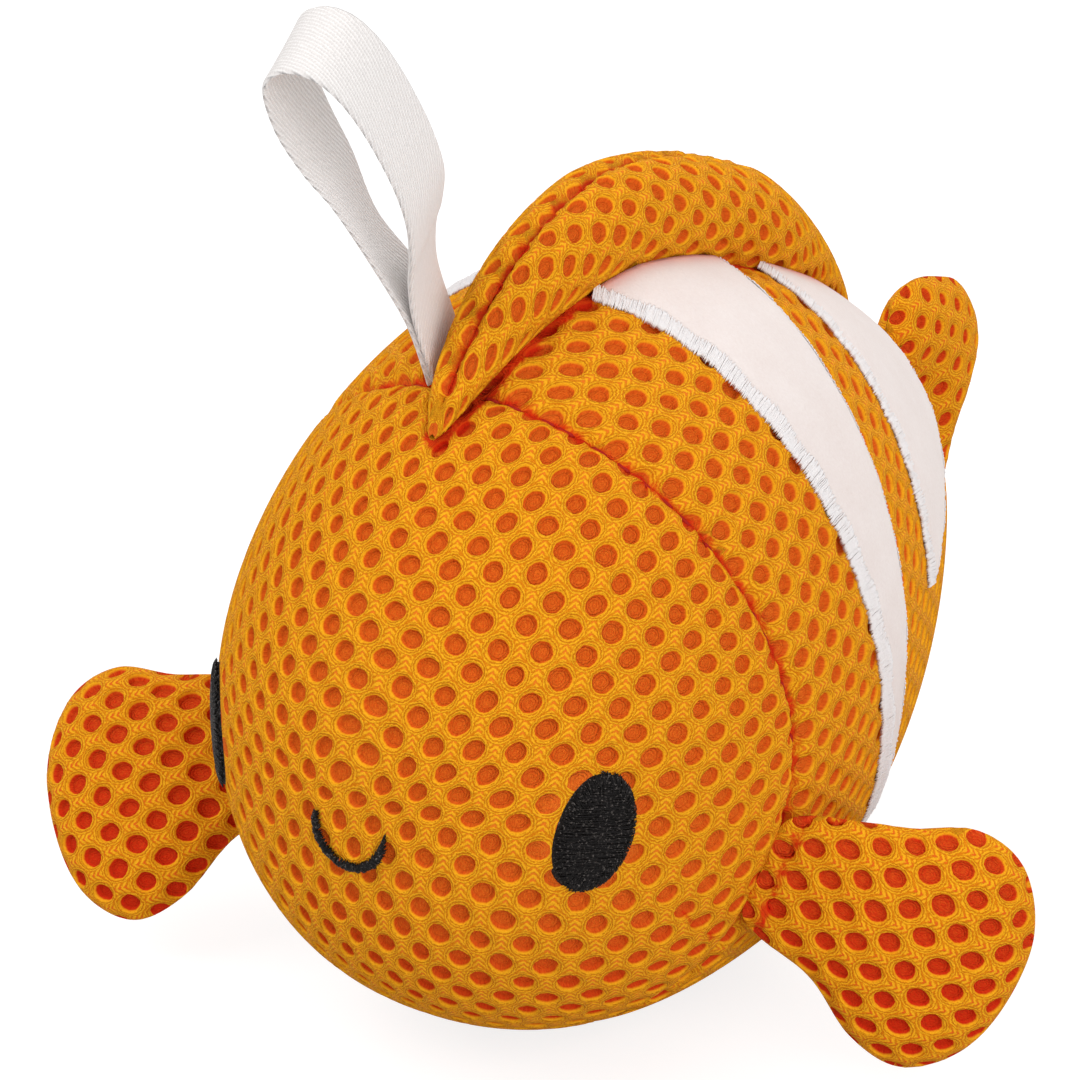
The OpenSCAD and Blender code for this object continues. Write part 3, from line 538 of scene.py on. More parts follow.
# Meridians of the face, from the nose to the head seam, measured so that the cloth keeps its length.
face_a = np.linspace(-np.pi, np.pi, 361)
nose_share = 1 - np.cos(np.linspace(0, np.pi / 2, 240))
face_y = -NOSE + (head_seam(face_a)[:, None] + NOSE) * nose_share
face_table, face_reach = by_length(face_y, lengths(skin(face_y, face_a[:, None])))
leaving = skin(0.0, face_a)
face_way = np.unwrap(np.arctan2(leaving[:, 2], leaving[:, 0]))


def face_cloth(u, v):
    """The round of mesh is eased over the dome: its rows run level at the nose, rise a little towards the fish's
    right and droop towards the left seam, which the products of x and y below give, in fifties of a millimetre."""
    x, y = u / 50, v / 50
    bx, by = np.tanh(x), np.tanh(y)
    s = 11.6 + 49 * x + 4.6 * y + 8.7 * bx ** 2 + 3 * bx * by - 6.1 * by ** 2 + 4.2 * bx ** 3 - 10.9 * bx * by ** 2
    t = (13.6 + 5 * x + 50.2 * y - 5.6 * bx ** 2 + 8.8 * bx * by - 7.1 * by ** 2 - 20.7 * bx ** 3
         + 13.6 * bx ** 2 * by + 6.8 * by ** 3)
    a = np.interp(np.arctan2(t, s), face_way, face_a)
    row = (a + np.pi) / (2 * np.pi) * 360
    reach = np.interp(a, face_a, face_reach)
    out = np.hypot(s, t)
    y = look_up(face_table, row, np.minimum(out / reach, 1) * 159)
    p = skin(y, a)
    edge = np.maximum(reach - out, 0)
    return p, outward(p), edge, edge


face = net_piece("face_mesh", face_cloth, (-110, 85), (-100, 75), 11, body_mesh)
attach(face, "body")
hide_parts("face_panel")


# Side panels. Two long panels of the same mesh, sewn to the face at the head seam and to each other
# along the belly and the back. Their rows run round the body and their wales along it.
RUMP_END = 97.81
side_stretch, side_start = (0.908, 1.105), (10.7, -8)
side_y = np.linspace(-62, RUMP_END, 300)
side_length = np.interp(side_y, side_y, lengths(skin(side_y, 0.0)[None])[0])
side_length = side_length - np.interp(0, side_y, side_length)
up_a, down_a = np.linspace(0, np.pi / 2, 120), np.linspace(0, -np.pi / 2, 120)
up_table, up_girth = by_length(np.tile(up_a, (300, 1)), lengths(skin(side_y[:, None], up_a)))
down_table, down_girth = by_length(np.tile(down_a, (300, 1)), lengths(skin(side_y[:, None], down_a)))
WHOLE_GRID = 159


def side_cloth(u, v):
    """Length along the side's widest line gives y, and girth from that line, up or down, gives the angle."""
    girth, length = side_stretch[0] * u + side_start[0], side_stretch[1] * v + side_start[1]
    y = np.interp(length, side_length, side_y)
    row = np.interp(length, side_length, np.arange(300.0))
    reach = np.where(girth > 0, np.interp(y, side_y, up_girth), np.interp(y, side_y, down_girth))
    share = np.minimum(np.abs(girth) / np.maximum(reach, 1e-6), 1) * WHOLE_GRID
    a = np.where(girth > 0, look_up(up_table, row, share), look_up(down_table, row, share))
    seam = head_seam(a)
    from_head = 0.88 * (length - np.interp(seam, side_y, side_length))
    edge = np.minimum(np.minimum(from_head, side_length[-1] - length), reach - np.abs(girth))
    p = skin(np.maximum(y, seam), a)
    edge = np.maximum(edge, 0)
    return p, outward(p), edge, edge


for side, mirrored, seed in (("left", False, 21), ("right", True, 22)):
    panel = net_piece(f"{side}_side_mesh", side_cloth, (-115, 105), (-52, 125), seed, body_mesh, mirrored=mirrored)
    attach(panel, "body")
    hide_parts(f"{side}_side_panel")


# Dorsal fin. A stuffed roll of mesh along the back, two panels joined along its crest, and sewn down
# to the body on both sides. Its crest seam is gathered, so it puckers.
dorsal_share = np.clip((1 - np.cos(np.linspace(0, np.pi, 400))) / 2, 0.0008, 0.9992)
dorsal_y = DORSAL_LONG * dorsal_share - DORSAL_FRONT
crest = np.stack([0 * dorsal_y, dorsal_y, dorsal_z(dorsal_y) + dorsal_r(dorsal_y)], -1)
crest_length = lengths(crest[None])[0]
dorsal_stretch, THIN_R = (0.86, 1.08), 1.0


def dorsal_cloth(u, v):
    """Length along the crest gives y, and the way down from the crest gives the angle round the roll. Towards the
    roll's thin ends the holes and the seam's furrow flatten out."""
    length, girth = dorsal_stretch[1] * v, dorsal_stretch[0] * u
    y = np.interp(length, crest_length, dorsal_y)
    r, z = dorsal_r(y), dorsal_z(y)
    r_on, z_on = dorsal_r(y + 0.01), dorsal_z(y + 0.01)
    reach = r * (math.pi / 2 + dorsal_foot_turn) + 1.3
    turn = math.pi / 2 - np.clip(girth, 0, reach) / np.maximum(r, THIN_R)
    edge = np.minimum(np.minimum(girth, reach - girth), np.minimum(length, crest_length[-1] - length))
    edge = np.minimum(edge, 0.05 + 0.9 * np.maximum(r - THIN_R, 0))
    seam = np.maximum(girth, 0) + np.maximum(3 * THIN_R - r, 0)
    n = np.stack([np.cos(turn), -((r_on - r) + (z_on - z) * np.sin(turn)) / 0.01, np.sin(turn)], -1)
    return (np.stack([r * np.cos(turn), y, z + r * np.sin(turn)], -1), unit(n),
            np.maximum(edge, 0), seam)


for side, mirrored, seed in (("left", False, 31), ("right", True, 32)):
    panel = net_piece(f"dorsal_fin_{side}_mesh", dorsal_cloth, (-4, 32), (-4, 145), seed, body_mesh, dip=1.5,
                      dip_width=2.2, pucker=0.4, mirrored=mirrored, on_body=False)
    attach(panel, "body")
    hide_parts(f"dorsal_fin_{side}_panel")


# Side fins and tail fin. Each is two panels of mesh sewn round their edge, turned right side out,
# stuffed, and sewn on by the root, which reaches into the seam. The stuffing thins towards it.
def curve_on(a, b, c, d, steps):
    """Catmull-Rom curve from each of the points b to its next, c, with a before them and d behind."""
    t = np.linspace(0, 1, steps, endpoint=False)[None, :, None]
    a, b, c, d = a[:, None], b[:, None], c[:, None], d[:, None]
    return (b + (c - a) * t / 2 + (2 * a - 5 * b + 4 * c - d) * t ** 2 / 2
            + (3 * b - a - 3 * c + d) * t ** 3 / 2).reshape(-1, a.shape[2])


def smooth_closed(p, steps):
    """The curve through the points and back to the first."""
    return curve_on(*[np.roll(p, k, axis=0) for k in (1, 0, -1, -2)], steps)


def pillow_half(fin, x, y, share):
    """Half thickness of a fin a share of the way to its edge: edge + (thick / 2 - edge) sqrt(1 - share^2), lower
    near the root."""
    off_root = np.hypot(np.maximum(x, 0), np.maximum(np.abs(y) - fin["root_half"] * fin["high"] / 2, 0))
    near = np.clip(off_root / (ROOT_REACH * fin["long"]), 0, 1)
    full = ROOT_FULL + (1 - ROOT_FULL) * near * near * (3 - 2 * near)
    pillow = FIN_EDGE + (fin["thick"] / 2 - FIN_EDGE) * np.sqrt(np.maximum(1 - share ** 2, 0)) * full
    return pillow * np.sqrt(np.maximum(1 - share ** 12, 0))


def fin_frame(fin, steps):
    """A fin's root and axes, and its outline and middle on them, in millimetres."""
    axes, size = np.asarray(fin["axes"]), [fin["long"], fin["high"] / 2]
    return (np.asarray(fin["root"]) - BODY_MIDDLE - FIN_EDGE * axes[0], axes,
            smooth_closed(np.asarray(fin["outline"]) * size, steps), np.array(fin["middle"]) * size)


def fin_cloth(fin, face_side):
    """Gives place(u, v) of a fin's front or back panel. Way and length from the fin's middle give the place, so that
    the cloth keeps its length as it rounds over the edge."""
    root, axes, curve, middle = fin_frame(fin, 12)
    off = curve - middle
    way = np.arctan2(off[:, 1], off[:, 0])
    order = np.argsort(way)
    way, reach_out = way[order], np.hypot(off[:, 0], off[:, 1])[order]
    turn, (pitch, step) = math.radians(fin["turn"]), fin["stretch"]

    def half(x, y, share=None):
        """Half thickness at a place off the middle, by the share of the way to the edge that it has or is given."""
        if share is None:
            share = np.hypot(x, y) / np.interp(np.arctan2(y, x), way, reach_out, period=2 * np.pi)
        return pillow_half(fin, x + middle[0], y + middle[1], share)

    ways = np.linspace(-np.pi, np.pi, 241)
    shares = np.sin(np.linspace(0, np.pi / 2, 200))
    far = np.interp(ways, way, reach_out, period=2 * np.pi)
    x = np.cos(ways)[:, None] * far[:, None] * shares
    y = np.sin(ways)[:, None] * far[:, None] * shares
    table, whole = by_length(np.tile(shares, (241, 1)), lengths(np.stack([x, y, half(x, y, shares)], -1)))

    def place(u, v):
        """Place, normal, way in from the edge and way from the root of the cloth at u, v."""
        out, up = fin["start"][0] + v * step, fin["start"][1] + u * pitch
        x = out * math.cos(turn) - up * math.sin(turn) - middle[0]
        y = out * math.sin(turn) + up * math.cos(turn) - middle[1]
        way_here = np.arctan2(y, x)
        whole_here = np.interp(way_here, ways, whole)
        away = np.hypot(x, y)
        share = look_up(table, (way_here + np.pi) / (2 * np.pi) * 240, np.minimum(away / whole_here, 1) * WHOLE_GRID)
        far_here = np.interp(way_here, way, reach_out, period=2 * np.pi)
        px, py = np.cos(way_here) * far_here * share, np.sin(way_here) * far_here * share
        held = np.minimum(share, 0.985) / np.maximum(share, 1e-6)
        qx, qy = px * held, py * held
        slope_x, slope_y = [(half(qx + i, qy + j) - half(qx - i, qy - j)) / 0.1 for i, j in ((0.05, 0), (0, 0.05))]
        n = np.stack([-slope_x, -slope_y, np.full_like(slope_x, 1.0)], -1)
        n = unit(n) * [1, 1, face_side]
        p = np.stack([px + middle[0], py + middle[1], face_side * half(px, py, share)], -1)
        seam = np.hypot(p[:, 0] - fin["seam_x"], np.maximum(np.abs(p[:, 1]) - fin["root_half"] * fin["high"] / 2, 0))
        return root + p @ axes, n @ axes, np.maximum(whole_here - away, 0), seam

    return place


FIN_EDGE, ROOT_FULL, ROOT_REACH = 0.8, 0.3, 0.45
fin_outline = [[-0.07, 0], [-0.05, 0.46], [0.2, 0.63], [0.38, 0.72], [0.6, 0.88], [0.81, 0.74], [0.95, 0.28],
               [0.96, -0.3], [0.88, -0.76], [0.7, -1.03], [0.48, -0.94], [0.25, -0.62], [-0.05, -0.4]]
tail_outline = [[-0.22, 0], [-0.24, 0.32], [-0.1, 0.55], [-0.24, 0.78], [-0.12, 0.99], [0.14, 1.04], [0.46, 0.97],
                [0.78, 0.84], [0.94, 0.58], [0.78, 0.28], [0.54, 0.02], [0.4, -0.26], [0.32, -0.56], [0.12, -0.78],
                [-0.1, -0.78], [-0.08, -0.56], [-0.24, -0.32]]
side_fin = {"long": 41.5, "high": 43.0, "thick": 14.0, "outline": fin_outline, "root_half": 0.5, "seam_x": 0.0,
            "middle": (0.52, 0), "stretch": (0.94, 1.12), "hole": HOLE_R}
fins = {
    "left_fin": {**side_fin, "turn": -7, "start": (5.5, 4.8), "out": (.8243, .4383, -.3584),
                 "over": (.4904, -.8691, .0651)},
    "right_fin": {**side_fin, "turn": 0, "start": (15.9, 0.5), "out": (-.8611, -.3834, -.3338),
                  "over": (.1498, -.8189, .5541)},
    "tail_fin": {**side_fin, "long": 25.0, "high": 58.5, "thick": 12.0, "outline": tail_outline, "root_half": 0.36,
                 "seam_x": -3.5, "middle": (0.34, 0.2), "turn": 8, "start": (12.1, 12.5), "hole": 1.3,
                 "out": (0, 1, 0), "over": (1, 0, 0)}}
for fin, shape in fins.items():
    shape["root"], up, _ = fin_roots[fin]
    shape["axes"] = shape["out"], up, shape["over"]
# Painted light: the fins' copy of the same mesh has redder hole floors, for the glow of light through the thin fins.
fin_mesh = knit_material("orange_fin_mesh", (246, 176, 28), (214, 118, 8), (228, 92, 28), (212, 58, 18))
for number, (fin, shape) in enumerate(fins.items()):
    for which, face_side in ((("left", 1), ("right", -1)) if fin == "tail_fin" else (("front", 1), ("back", -1))):
        panel = net_piece(f"{fin}_{which}_mesh", fin_cloth(shape, face_side), (-60, 60), (-40, 55),
                          40 + 2 * number + face_side, fin_mesh, dip=0.5, dip_width=1.5, pucker=0.15, on_body=False,
                          hole=shape["hole"])
        if (fin != "right_fin") == (face_side < 0):
            panel.data.flip_normals()
        hinge, out = Vector(shape["root"]) / 1000, Vector(shape["axes"][0])
        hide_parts(f"{fin}_{which}_panel")
        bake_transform(panel)


# Seam threads. Red polyester lockstitch shows as short dashes where the head seam and the belly seam
# open over the filling.
def thread_tubes(paths, normals, radius, sides=6):
    """Tubes round many paths at once: path + radius (cos t side + sin t normal), drawn in to a point at both ends."""
    along_path = np.gradient(paths, axis=1)
    across = unit(np.cross(along_path, normals))
    count, points = paths.shape[:2]
    taper = np.sin(np.clip(np.linspace(0, 1, points) * 7, 0, math.pi / 2)) * np.sin(
        np.clip(np.linspace(1, 0, points) * 7, 0, math.pi / 2))
    turn = 2 * np.pi * np.arange(sides) / sides
    thick = (np.broadcast_to(np.asarray(radius, float), (count,))[:, None] * taper)[..., None, None]
    round_path = np.cos(turn)[:, None] * across[:, :, None] + np.sin(turn)[:, None] * normals[:, :, None]
    rings = paths[:, :, None] + thick * round_path
    faces = ring_walls(points, sides)[None] + (np.arange(count) * points * sides)[:, None, None]
    way = np.stack([np.broadcast_to(share, rings.shape[:3]).ravel()
                    for share in (np.arange(points)[:, None] / points, turn / 6.3)], -1)
    points_flat, faces, (way,) = weld(rings.reshape(-1, 3), faces.reshape(-1, 3), [way])
    return points_flat, faces, way


def thread_material(name, colour, shade, gloss, painted_glint=None):
    """Twisted embroidery or sewing thread: fine plies in its bump, a silky gloss, and painted highlight flecks where
    filaments shine.
    """
    material, tree = new_material(name)
    place = on_object(tree)
    ply = noise(tree, place, 3400.0)
    tone = mix(tree, ply, shade, colour)
    if painted_glint:
        tone = mix(tree, ramp(tree, noise(tree, place, 2600.0, 4.0, 0.8), 0.54, 0.7), tone, painted_glint)
    surface(tree, tone, ply, 0.8, 0.00015, gloss, {"Specular IOR Level": 0.12 if painted_glint else 0.3})
    return material


red_thread = thread_material("red_thread", linear(186, 26, 8), linear(140, 14, 4), 0.7)


def dashes(line, pitch, share, chance):
    """Ends of the stitches along a line of points: a share of each pitch, a little uneven."""
    run = lengths(line[None])[0]
    start = np.arange(1.0, run[-1] - pitch, pitch)
    start = start + chance.uniform(-0.15, 0.15, len(start)) * pitch
    return run, start[:, None] + np.linspace(0, 1, 7) * pitch * share * chance.uniform(0.75, 1.2, (len(start), 1))


STITCH_PITCH, STITCH_SHARE, STITCH_SUNK, STITCH_R = 4.6, 0.62, 2.0, 0.35
seam_chance = np.random.default_rng(5)
seam_a = np.linspace(-np.pi, np.pi, 720)
for name, line in (("head_seam_thread", skin(head_seam(seam_a), seam_a)),
                   ("belly_seam_thread", skin(np.linspace(-32, 96, 300), -np.pi / 2))):
    run, spots = dashes(line, STITCH_PITCH, STITCH_SHARE, seam_chance)
    paths = on_line(spots, run, line)
    normals = outward(paths)
    points, faces, way = thread_tubes(paths - normals * STITCH_SUNK, normals, STITCH_R)
    piece = add_piece(name, points, faces, red_thread, way)
    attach(piece, "body")


# White stripes. Two bands of felt on each side, laid over the mesh and sewn down along their edges
# with a dense white satin stitch, broad and ragged on the front band's front edge.
STRIPES = {"front": (24.0, 37.0, math.radians(-33), 0.1, 1.05, 2.0),
           "rear": (76.0, 43.0, math.radians(3), 0.84, 3.0, 5.0)}


def stripe_y(band, a, share):
    """Place of a share of the band's width at angle a: both edges sweep forward to a point at its lower end."""
    rear_y, width, low, tip, front_power, rear_power = STRIPES[band]
    u = np.clip((a - low) / (np.pi / 2 - low), 0, 1)
    front = tip + (1 - tip) * u ** front_power
    rear = tip * (1 - u) ** rear_power
    return rear_y - width * (front + (rear - front) * share)


def beside_dorsal(y):
    """Angle at which a band stops beside the dorsal fin."""
    return np.arccos(((dorsal_r(y) * math.cos(dorsal_foot_turn) + 0.5) / reaches(y)[0]) ** (TOP_CURVE / 2))


felt, tree = new_material("white_felt")
place = on_object(tree)
fibre, cloudy = noise(tree, place, 1700.0, 5.0, 0.75), noise(tree, place, 120.0, 3.0)
tone = mix(tree, calc(tree, "MULTIPLY_ADD", fibre, 0.6, calc(tree, "MULTIPLY", cloudy, 0.4)), linear(222, 204, 197),
           linear(248, 240, 237))
# Painted light: a red-orange tint of light bounced off the roll, on the felt near it.
painted_roll_bounce = calc(tree, "POWER", attribute(tree, "painted_roll_bounce"), 2.5)
tone = mix(tree, calc(tree, "MULTIPLY", painted_roll_bounce, 0.75), tone, linear(226, 96, 60))
surface(tree, tone, calc(tree, "ADD", fibre, cloudy), 0.6, 0.0003, 0.9, {"Sheen Weight": 0.25, "Sheen Roughness": 0.5})
white_thread = thread_material("white_thread", linear(246, 243, 243), linear(228, 223, 223), 0.6)


def closed_band(section, rings):
    """Triangles of a tube of `rings` sections of `section` points each, with both ends closed by fans."""
    k = np.arange(1, section - 1)
    last = (rings - 1) * section
    return np.concatenate([ring_walls(rings, section), np.stack([0 * k, k + 1, k], 1),
                           np.stack([0 * k + last, last + k, last + k + 1], 1)])


FELT_RIM, FELT_RISE, FELT_ROUND = 0.3, 0.85, 0.9


def felt_lift(inside):
    """Height of the felt's face a distance inside its edge: it rounds up to its full 1.15 mm as 1 - exp(-d^2)."""
    return FELT_RIM + FELT_RISE * (1 - np.exp(-(np.maximum(inside, 0) / FELT_ROUND) ** 2))


ACROSS, RINGS, THREAD_R, THREAD_STEP = 19, 110, 0.13, 0.14
stitch_chance = np.random.default_rng(9)
for band in STRIPES:
    low = STRIPES[band][2] + math.radians(2)
    share_row = (1 - np.cos(np.linspace(0, np.pi, ACROSS))) / 2
    shares = np.concatenate([share_row, share_row[::-1]])
    part_way = np.linspace(0, 1, RINGS)[:, None]
    top_a = beside_dorsal(stripe_y(band, np.pi / 2, shares))
    a = low + (top_a - low) * part_way
    bed = skin(stripe_y(band, a, shares), a)
    width_here = np.linalg.norm(bed[:, 0] - bed[:, ACROSS - 1], axis=-1)
    over = (bed[:, ACROSS - 1] - bed[:, 0]) / width_here[:, None]
    edge_ways = [np.gradient(bed[:, k], axis=0) for k in (0, ACROSS - 1)]
    square = [np.linalg.norm(np.cross(unit(w), over), axis=-1)[:, None]
              for w in edge_ways]
    inside = np.minimum(shares * square[0], (1 - shares) * square[1]) * width_here[:, None]
    ripple = 0.12 * np.sin(a * 23 + 5 * shares) * np.sin(7 * shares + a * 9)
    lifts = np.where(np.arange(2 * ACROSS) < ACROSS, felt_lift(inside) + ripple * np.clip(inside / 3, 0, 1), 0.1)
    points = bed + outward(bed) * lifts[..., None]
    faces = closed_band(2 * ACROSS, RINGS)
    upper = np.tile(np.arange(2 * ACROSS) < ACROSS - 1, 2 * (RINGS - 1))
    upper = np.concatenate([upper, np.zeros(len(faces) - len(upper), bool)])
    run = lengths(points[None, :, ACROSS // 2])[0]
    bed_run = lengths(bed.transpose(1, 0, 2)).T
    paths, normals, radii = [], [], []
    for share, way_out, reach in ((0.0, -1, 1.9 if band == "front" else 1.2), (1.0, 1, 1.2)):
        fine_a = np.linspace(low - math.radians(1.0), beside_dorsal(stripe_y(band, np.pi / 2, share)), 3000)
        line = skin(stripe_y(band, fine_a, share), fine_a)
        line_run = lengths(line[None])[0]
        spots = np.arange(0.3, line_run[-1] - 0.2, THREAD_STEP)
        count = len(spots)
        spots = spots + stitch_chance.normal(0, 0.05, count)
        here = on_line(spots, line_run, line)
        normal = outward(here)
        forward = unit(on_line(spots + 0.3, line_run, line) - here)
        out = np.cross(forward, normal)
        out = out * np.sign(out[:, 1] * way_out)[:, None]
        ragged = 0.2 + 0.15 * np.sin(spots * 0.9) + 0.12 * np.sin(spots * 4.7)
        ragged = ragged + 0.5 * stitch_chance.uniform(0, 1, count) ** 6 + (0.75 if reach > 1.5 else 0.15)
        inner = reach * (1 + 0.2 * np.sin(spots * 0.55)) + stitch_chance.uniform(-0.5, 0.3, count)
        half_band = np.interp(spots, line_run, np.interp(fine_a, a[:, ACROSS // 2], width_here)) * 0.5
        inner = inner * np.clip(np.minimum(half_band, 9) / inner, 0.25, 1)
        slant = stitch_chance.normal(0, 0.04, count) + 0.15
        t = np.linspace(0, 1, 7)
        from_edge = -ragged[:, None] + (inner + ragged)[:, None] * t
        raised = felt_lift(from_edge) + 0.16 * (1 - np.clip(from_edge / inner[:, None], 0, 1) ** 4)
        off_felt = -0.15 + 0.61 * np.maximum(1 + from_edge / ragged[:, None], 0) ** 0.5
        lift = np.where(from_edge < 0, off_felt, raised) + stitch_chance.normal(0, 0.03, (count, 1))
        paths.append(here[:, None] - out[:, None] * from_edge[..., None] + normal[:, None] * lift[..., None]
                     + forward[:, None] * (slant[:, None] * from_edge)[..., None])
        normals.append(np.repeat(normal[:, None], 7, axis=1))
        radii.append(np.full(count, THREAD_R))
    stitches, stitch_faces, stitch_way = thread_tubes(*[np.concatenate(part) for part in (paths, normals, radii)], 5)
    for side, turn in (("left", 1), ("right", -1)):
        mirror = np.array([turn, 1, 1])
        piece = add_piece(f"{side}_{band}_felt", points.reshape(-1, 3) * mirror, faces[:, ::turn], felt, None,
                          {"painted_roll_bounce": np.clip(1 - (bed_run[-1:] - bed_run) / 4.5, 0, 1).ravel()}, upper)
        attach(piece, "body")
        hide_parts(f"{side}_{band}_stripe")
        edging = add_piece(f"{side}_{band}_satin_edge", stitches * mirror, stitch_faces[:, ::turn], white_thread,
                           stitch_way)
        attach(edging, "body")


# Hanging loop. One length of white cotton twill tape, folded and sewn in beside the front of the
# dorsal fin; it stands up by its own stiffness and twists a little near its foot.
TAPE_W, TAPE_T, LOOP_H, LOOP_W, WEFTS = 15.0, 1.0, 57.0, 17.5, 21
# Across and up the loop's plane as shares of its width and height, and the tape's twist there in degrees.
loop_shares = [[-0.13, 0.16, 16], [-0.33, 0.34, 22], [-0.46, 0.54, 13], [-0.59, 0.67, 5], [-0.67, 0.8, 0],
               [-0.67, 0.92, 0], [-0.56, 0.98, 0], [-0.38, 1, 0], [-0.18, 0.98, 0], [-0.02, 0.92, 0], [0.1, 0.83, 0],
               [0.19, 0.72, 0], [0.25, 0.61, 0], [0.26, 0.5, 0], [0.18, 0.39, 3], [0.09, 0.31, 6], [0.02, 0.18, 8]]
turn_out, lift_up = math.radians(12), math.radians(22)
tape_way = np.array([-math.sin(turn_out) * math.cos(lift_up), math.cos(turn_out) * math.cos(lift_up),
                     math.sin(lift_up)])
loop_across = unit(np.array([1.0, 0, 0]) - tape_way * tape_way[0])
loop_up = np.cross(loop_across, tape_way)
foot_y = -29.0
foot_x = -dorsal_r(TAPE_W / 2 + foot_y) - 0.4 - TAPE_T * 1.5
loop_foot = np.array([foot_x, foot_y, back_at(foot_y, foot_x, 1.5)])
foot_half = TAPE_T / 2 + 0.1
ends = [[-foot_half, -2.5, 8], [-foot_half, 0, 8]], [[foot_half, 0, 8], [foot_half, -2.5, 8]]
knots = np.concatenate([ends[0], np.array(loop_shares) * [LOOP_W, LOOP_H, 1], ends[1]])
knots = np.concatenate([knots[:1], knots, knots[-1:]])
tape_line = np.concatenate([curve_on(knots[:-3], knots[1:-2], knots[2:-1], knots[3:], 9), knots[-1:]])
way = unit(np.gradient(tape_line[:, :2], axis=0))
over = np.stack([way[:, 1], -way[:, 0]], 1)
tape_run = lengths(tape_line[None, :, :2])[0]
flat_w = np.concatenate([np.linspace(-1, 1, WEFTS), np.linspace(1, -1, WEFTS)[1:-1]])
flat_t = np.where(np.arange(len(flat_w)) < WEFTS, 1.0, -1.0)
flat_t[[0, WEFTS - 1]] = 0.0
rounded = np.where(np.abs(flat_w) > 0.93, 1.06, 1.0) * flat_t * TAPE_T / 2
cupped = 0.35 * (flat_w ** 2) * np.sin(tape_run / 17)[:, None]
turned_by = np.radians(tape_line[:, 2])[:, None]
w = flat_w * TAPE_W / 2
across = tape_line[:, 0][:, None] + over[:, 0][:, None] * (rounded + cupped) - w * np.sin(turned_by)
upward = tape_line[:, 1][:, None] + over[:, 1][:, None] * (rounded + cupped)
points = (loop_foot + across[..., None] * loop_across + upward[..., None] * loop_up
          + (w * np.cos(turned_by))[..., None] * tape_way)
faces = closed_band(len(flat_w), len(tape_line))
loop_uv = np.stack(np.broadcast_arrays(w, tape_run[:, None]), -1).reshape(-1, 2)

twill, tree = new_material("white_twill")
tape_map = put(tree, "ShaderNodeUVMap", uv_map="cloth").outputs[0]
cloth = put(tree, "ShaderNodeSeparateXYZ", {0: tape_map})
slanted = calc(tree, "MULTIPLY_ADD", cloth.outputs[1], 0.33, cloth.outputs[0])
wobbly = calc(tree, "MULTIPLY_ADD", noise(tree, tape_map, 0.9, 3.0), 0.5, slanted)
rib, fine = [calc(tree, "MULTIPLY_ADD", calc(tree, "SINE", calc(tree, "MULTIPLY", way, 2 * math.pi / period)), 0.5, 0.5)
             for way, period in ((wobbly, 0.72), (cloth.outputs[1], 0.45))]
lint = noise(tree, on_object(tree), 2500.0, 3.0)
relief = calc(tree, "MULTIPLY_ADD", calc(tree, "ADD", fine, lint), 0.25, calc(tree, "MULTIPLY", rib, 0.7))
tone = mix(tree, relief, linear(224, 218, 215), linear(244, 240, 238))
surface(tree, tone, relief, 0.8, 0.00022, 0.85, {"Sheen Weight": 0.15})
loop = add_piece("hanging_loop_tape", points.reshape(-1, 3), faces, twill, loop_uv)
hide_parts("hanging_loop")
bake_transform(loop)


# Embroidered eyes and smile. Black satin stitch: rows of thread laid side by side across each eye over
# a padding of underlay, and short threads across the line of the smile.
def side_at(y, z, lift):
    """Half width of the body at y and height z."""
    side, reach, power = section(y, z, lift)
    return side * swell(z / reach, power)


def eye_point(across, up, lift):
    """Point of the left cheek across and up from the eye's middle; the eye's top leans back."""
    y = across * math.cos(EYE_TILT) + up * math.sin(EYE_TILT) - EYE_FRONT
    z = up * math.cos(EYE_TILT) - across * math.sin(EYE_TILT) + EYE_Z
    return np.stack([side_at(y, z, lift), y + 0 * z, z + 0 * y], -1)


# Its last colour is painted highlight: flecks where the black filaments shine.
black_thread = thread_material("black_thread", linear(17, 13, 12), linear(2, 1, 1), 0.5, linear(118, 111, 107))
rise = np.subtract(*side_at(np.array([1, -1]) * EYE_W / 4 - EYE_FRONT, EYE_Z, 0.0))
eye_run = EYE_W / 2 / math.hypot(1, float(rise) / (EYE_W / 2))
thread_chance = np.random.default_rng(3)
EYE_RIM, EYE_RISE, EYE_ROW, EYE_STITCH = 0.25, 0.45, 0.2, 1.9


def dome(share):
    """Height of the satin over the cheek at a share of the eye's half width: 0.7 mm, round at the rim."""
    return EYE_RIM + EYE_RISE * np.sqrt(np.maximum(1 - np.clip(share, 0, 1) ** 6, 0))


RIM, FRINGE, THREAD_POINTS = 48, 260, 17
ring_turn = np.linspace(0, 2 * np.pi, RIM, endpoint=False)
eye_shares = np.array([0.99, 0.98, 0.94, 0.85, 0.6, 0.3, 0.0])
eye_lifts = np.concatenate([[-0.3], dome(eye_shares[1:]) - 0.08])
pad_z = eye_shares[:, None] * EYE_H / 2 * np.sin(ring_turn)
pad = eye_point(eye_shares[:, None] * eye_run * np.cos(ring_turn), pad_z, eye_lifts[:, None])
rows = np.repeat(np.arange((EYE_ROW - EYE_H) / 2, EYE_H / 2, EYE_ROW), 2)
rows = rows + thread_chance.normal(0, 0.06, len(rows))
half_row = eye_run * np.sqrt(np.maximum(1 - (rows / (EYE_H / 2)) ** 2, 0.02))[:, None]
t = np.where(np.arange(len(rows)) % 2, 1, -1)[:, None] * np.linspace(-0.25, 1, THREAD_POINTS)
over_end = 1 + thread_chance.uniform(-0.06, 0.05, (len(rows), 1)) * np.abs(t) ** 8
dz = rows[:, None] + thread_chance.normal(0, 0.16, (len(rows), 1)) * t
dy = half_row * t * over_end
stitch_start = thread_chance.uniform(0, EYE_STITCH, (len(rows), 1))
held_down = np.abs(np.sin((half_row * t + stitch_start) * math.pi / EYE_STITCH)) ** 0.5
rim = np.hypot(t * half_row / eye_run, rows[:, None] / (EYE_H / 2))
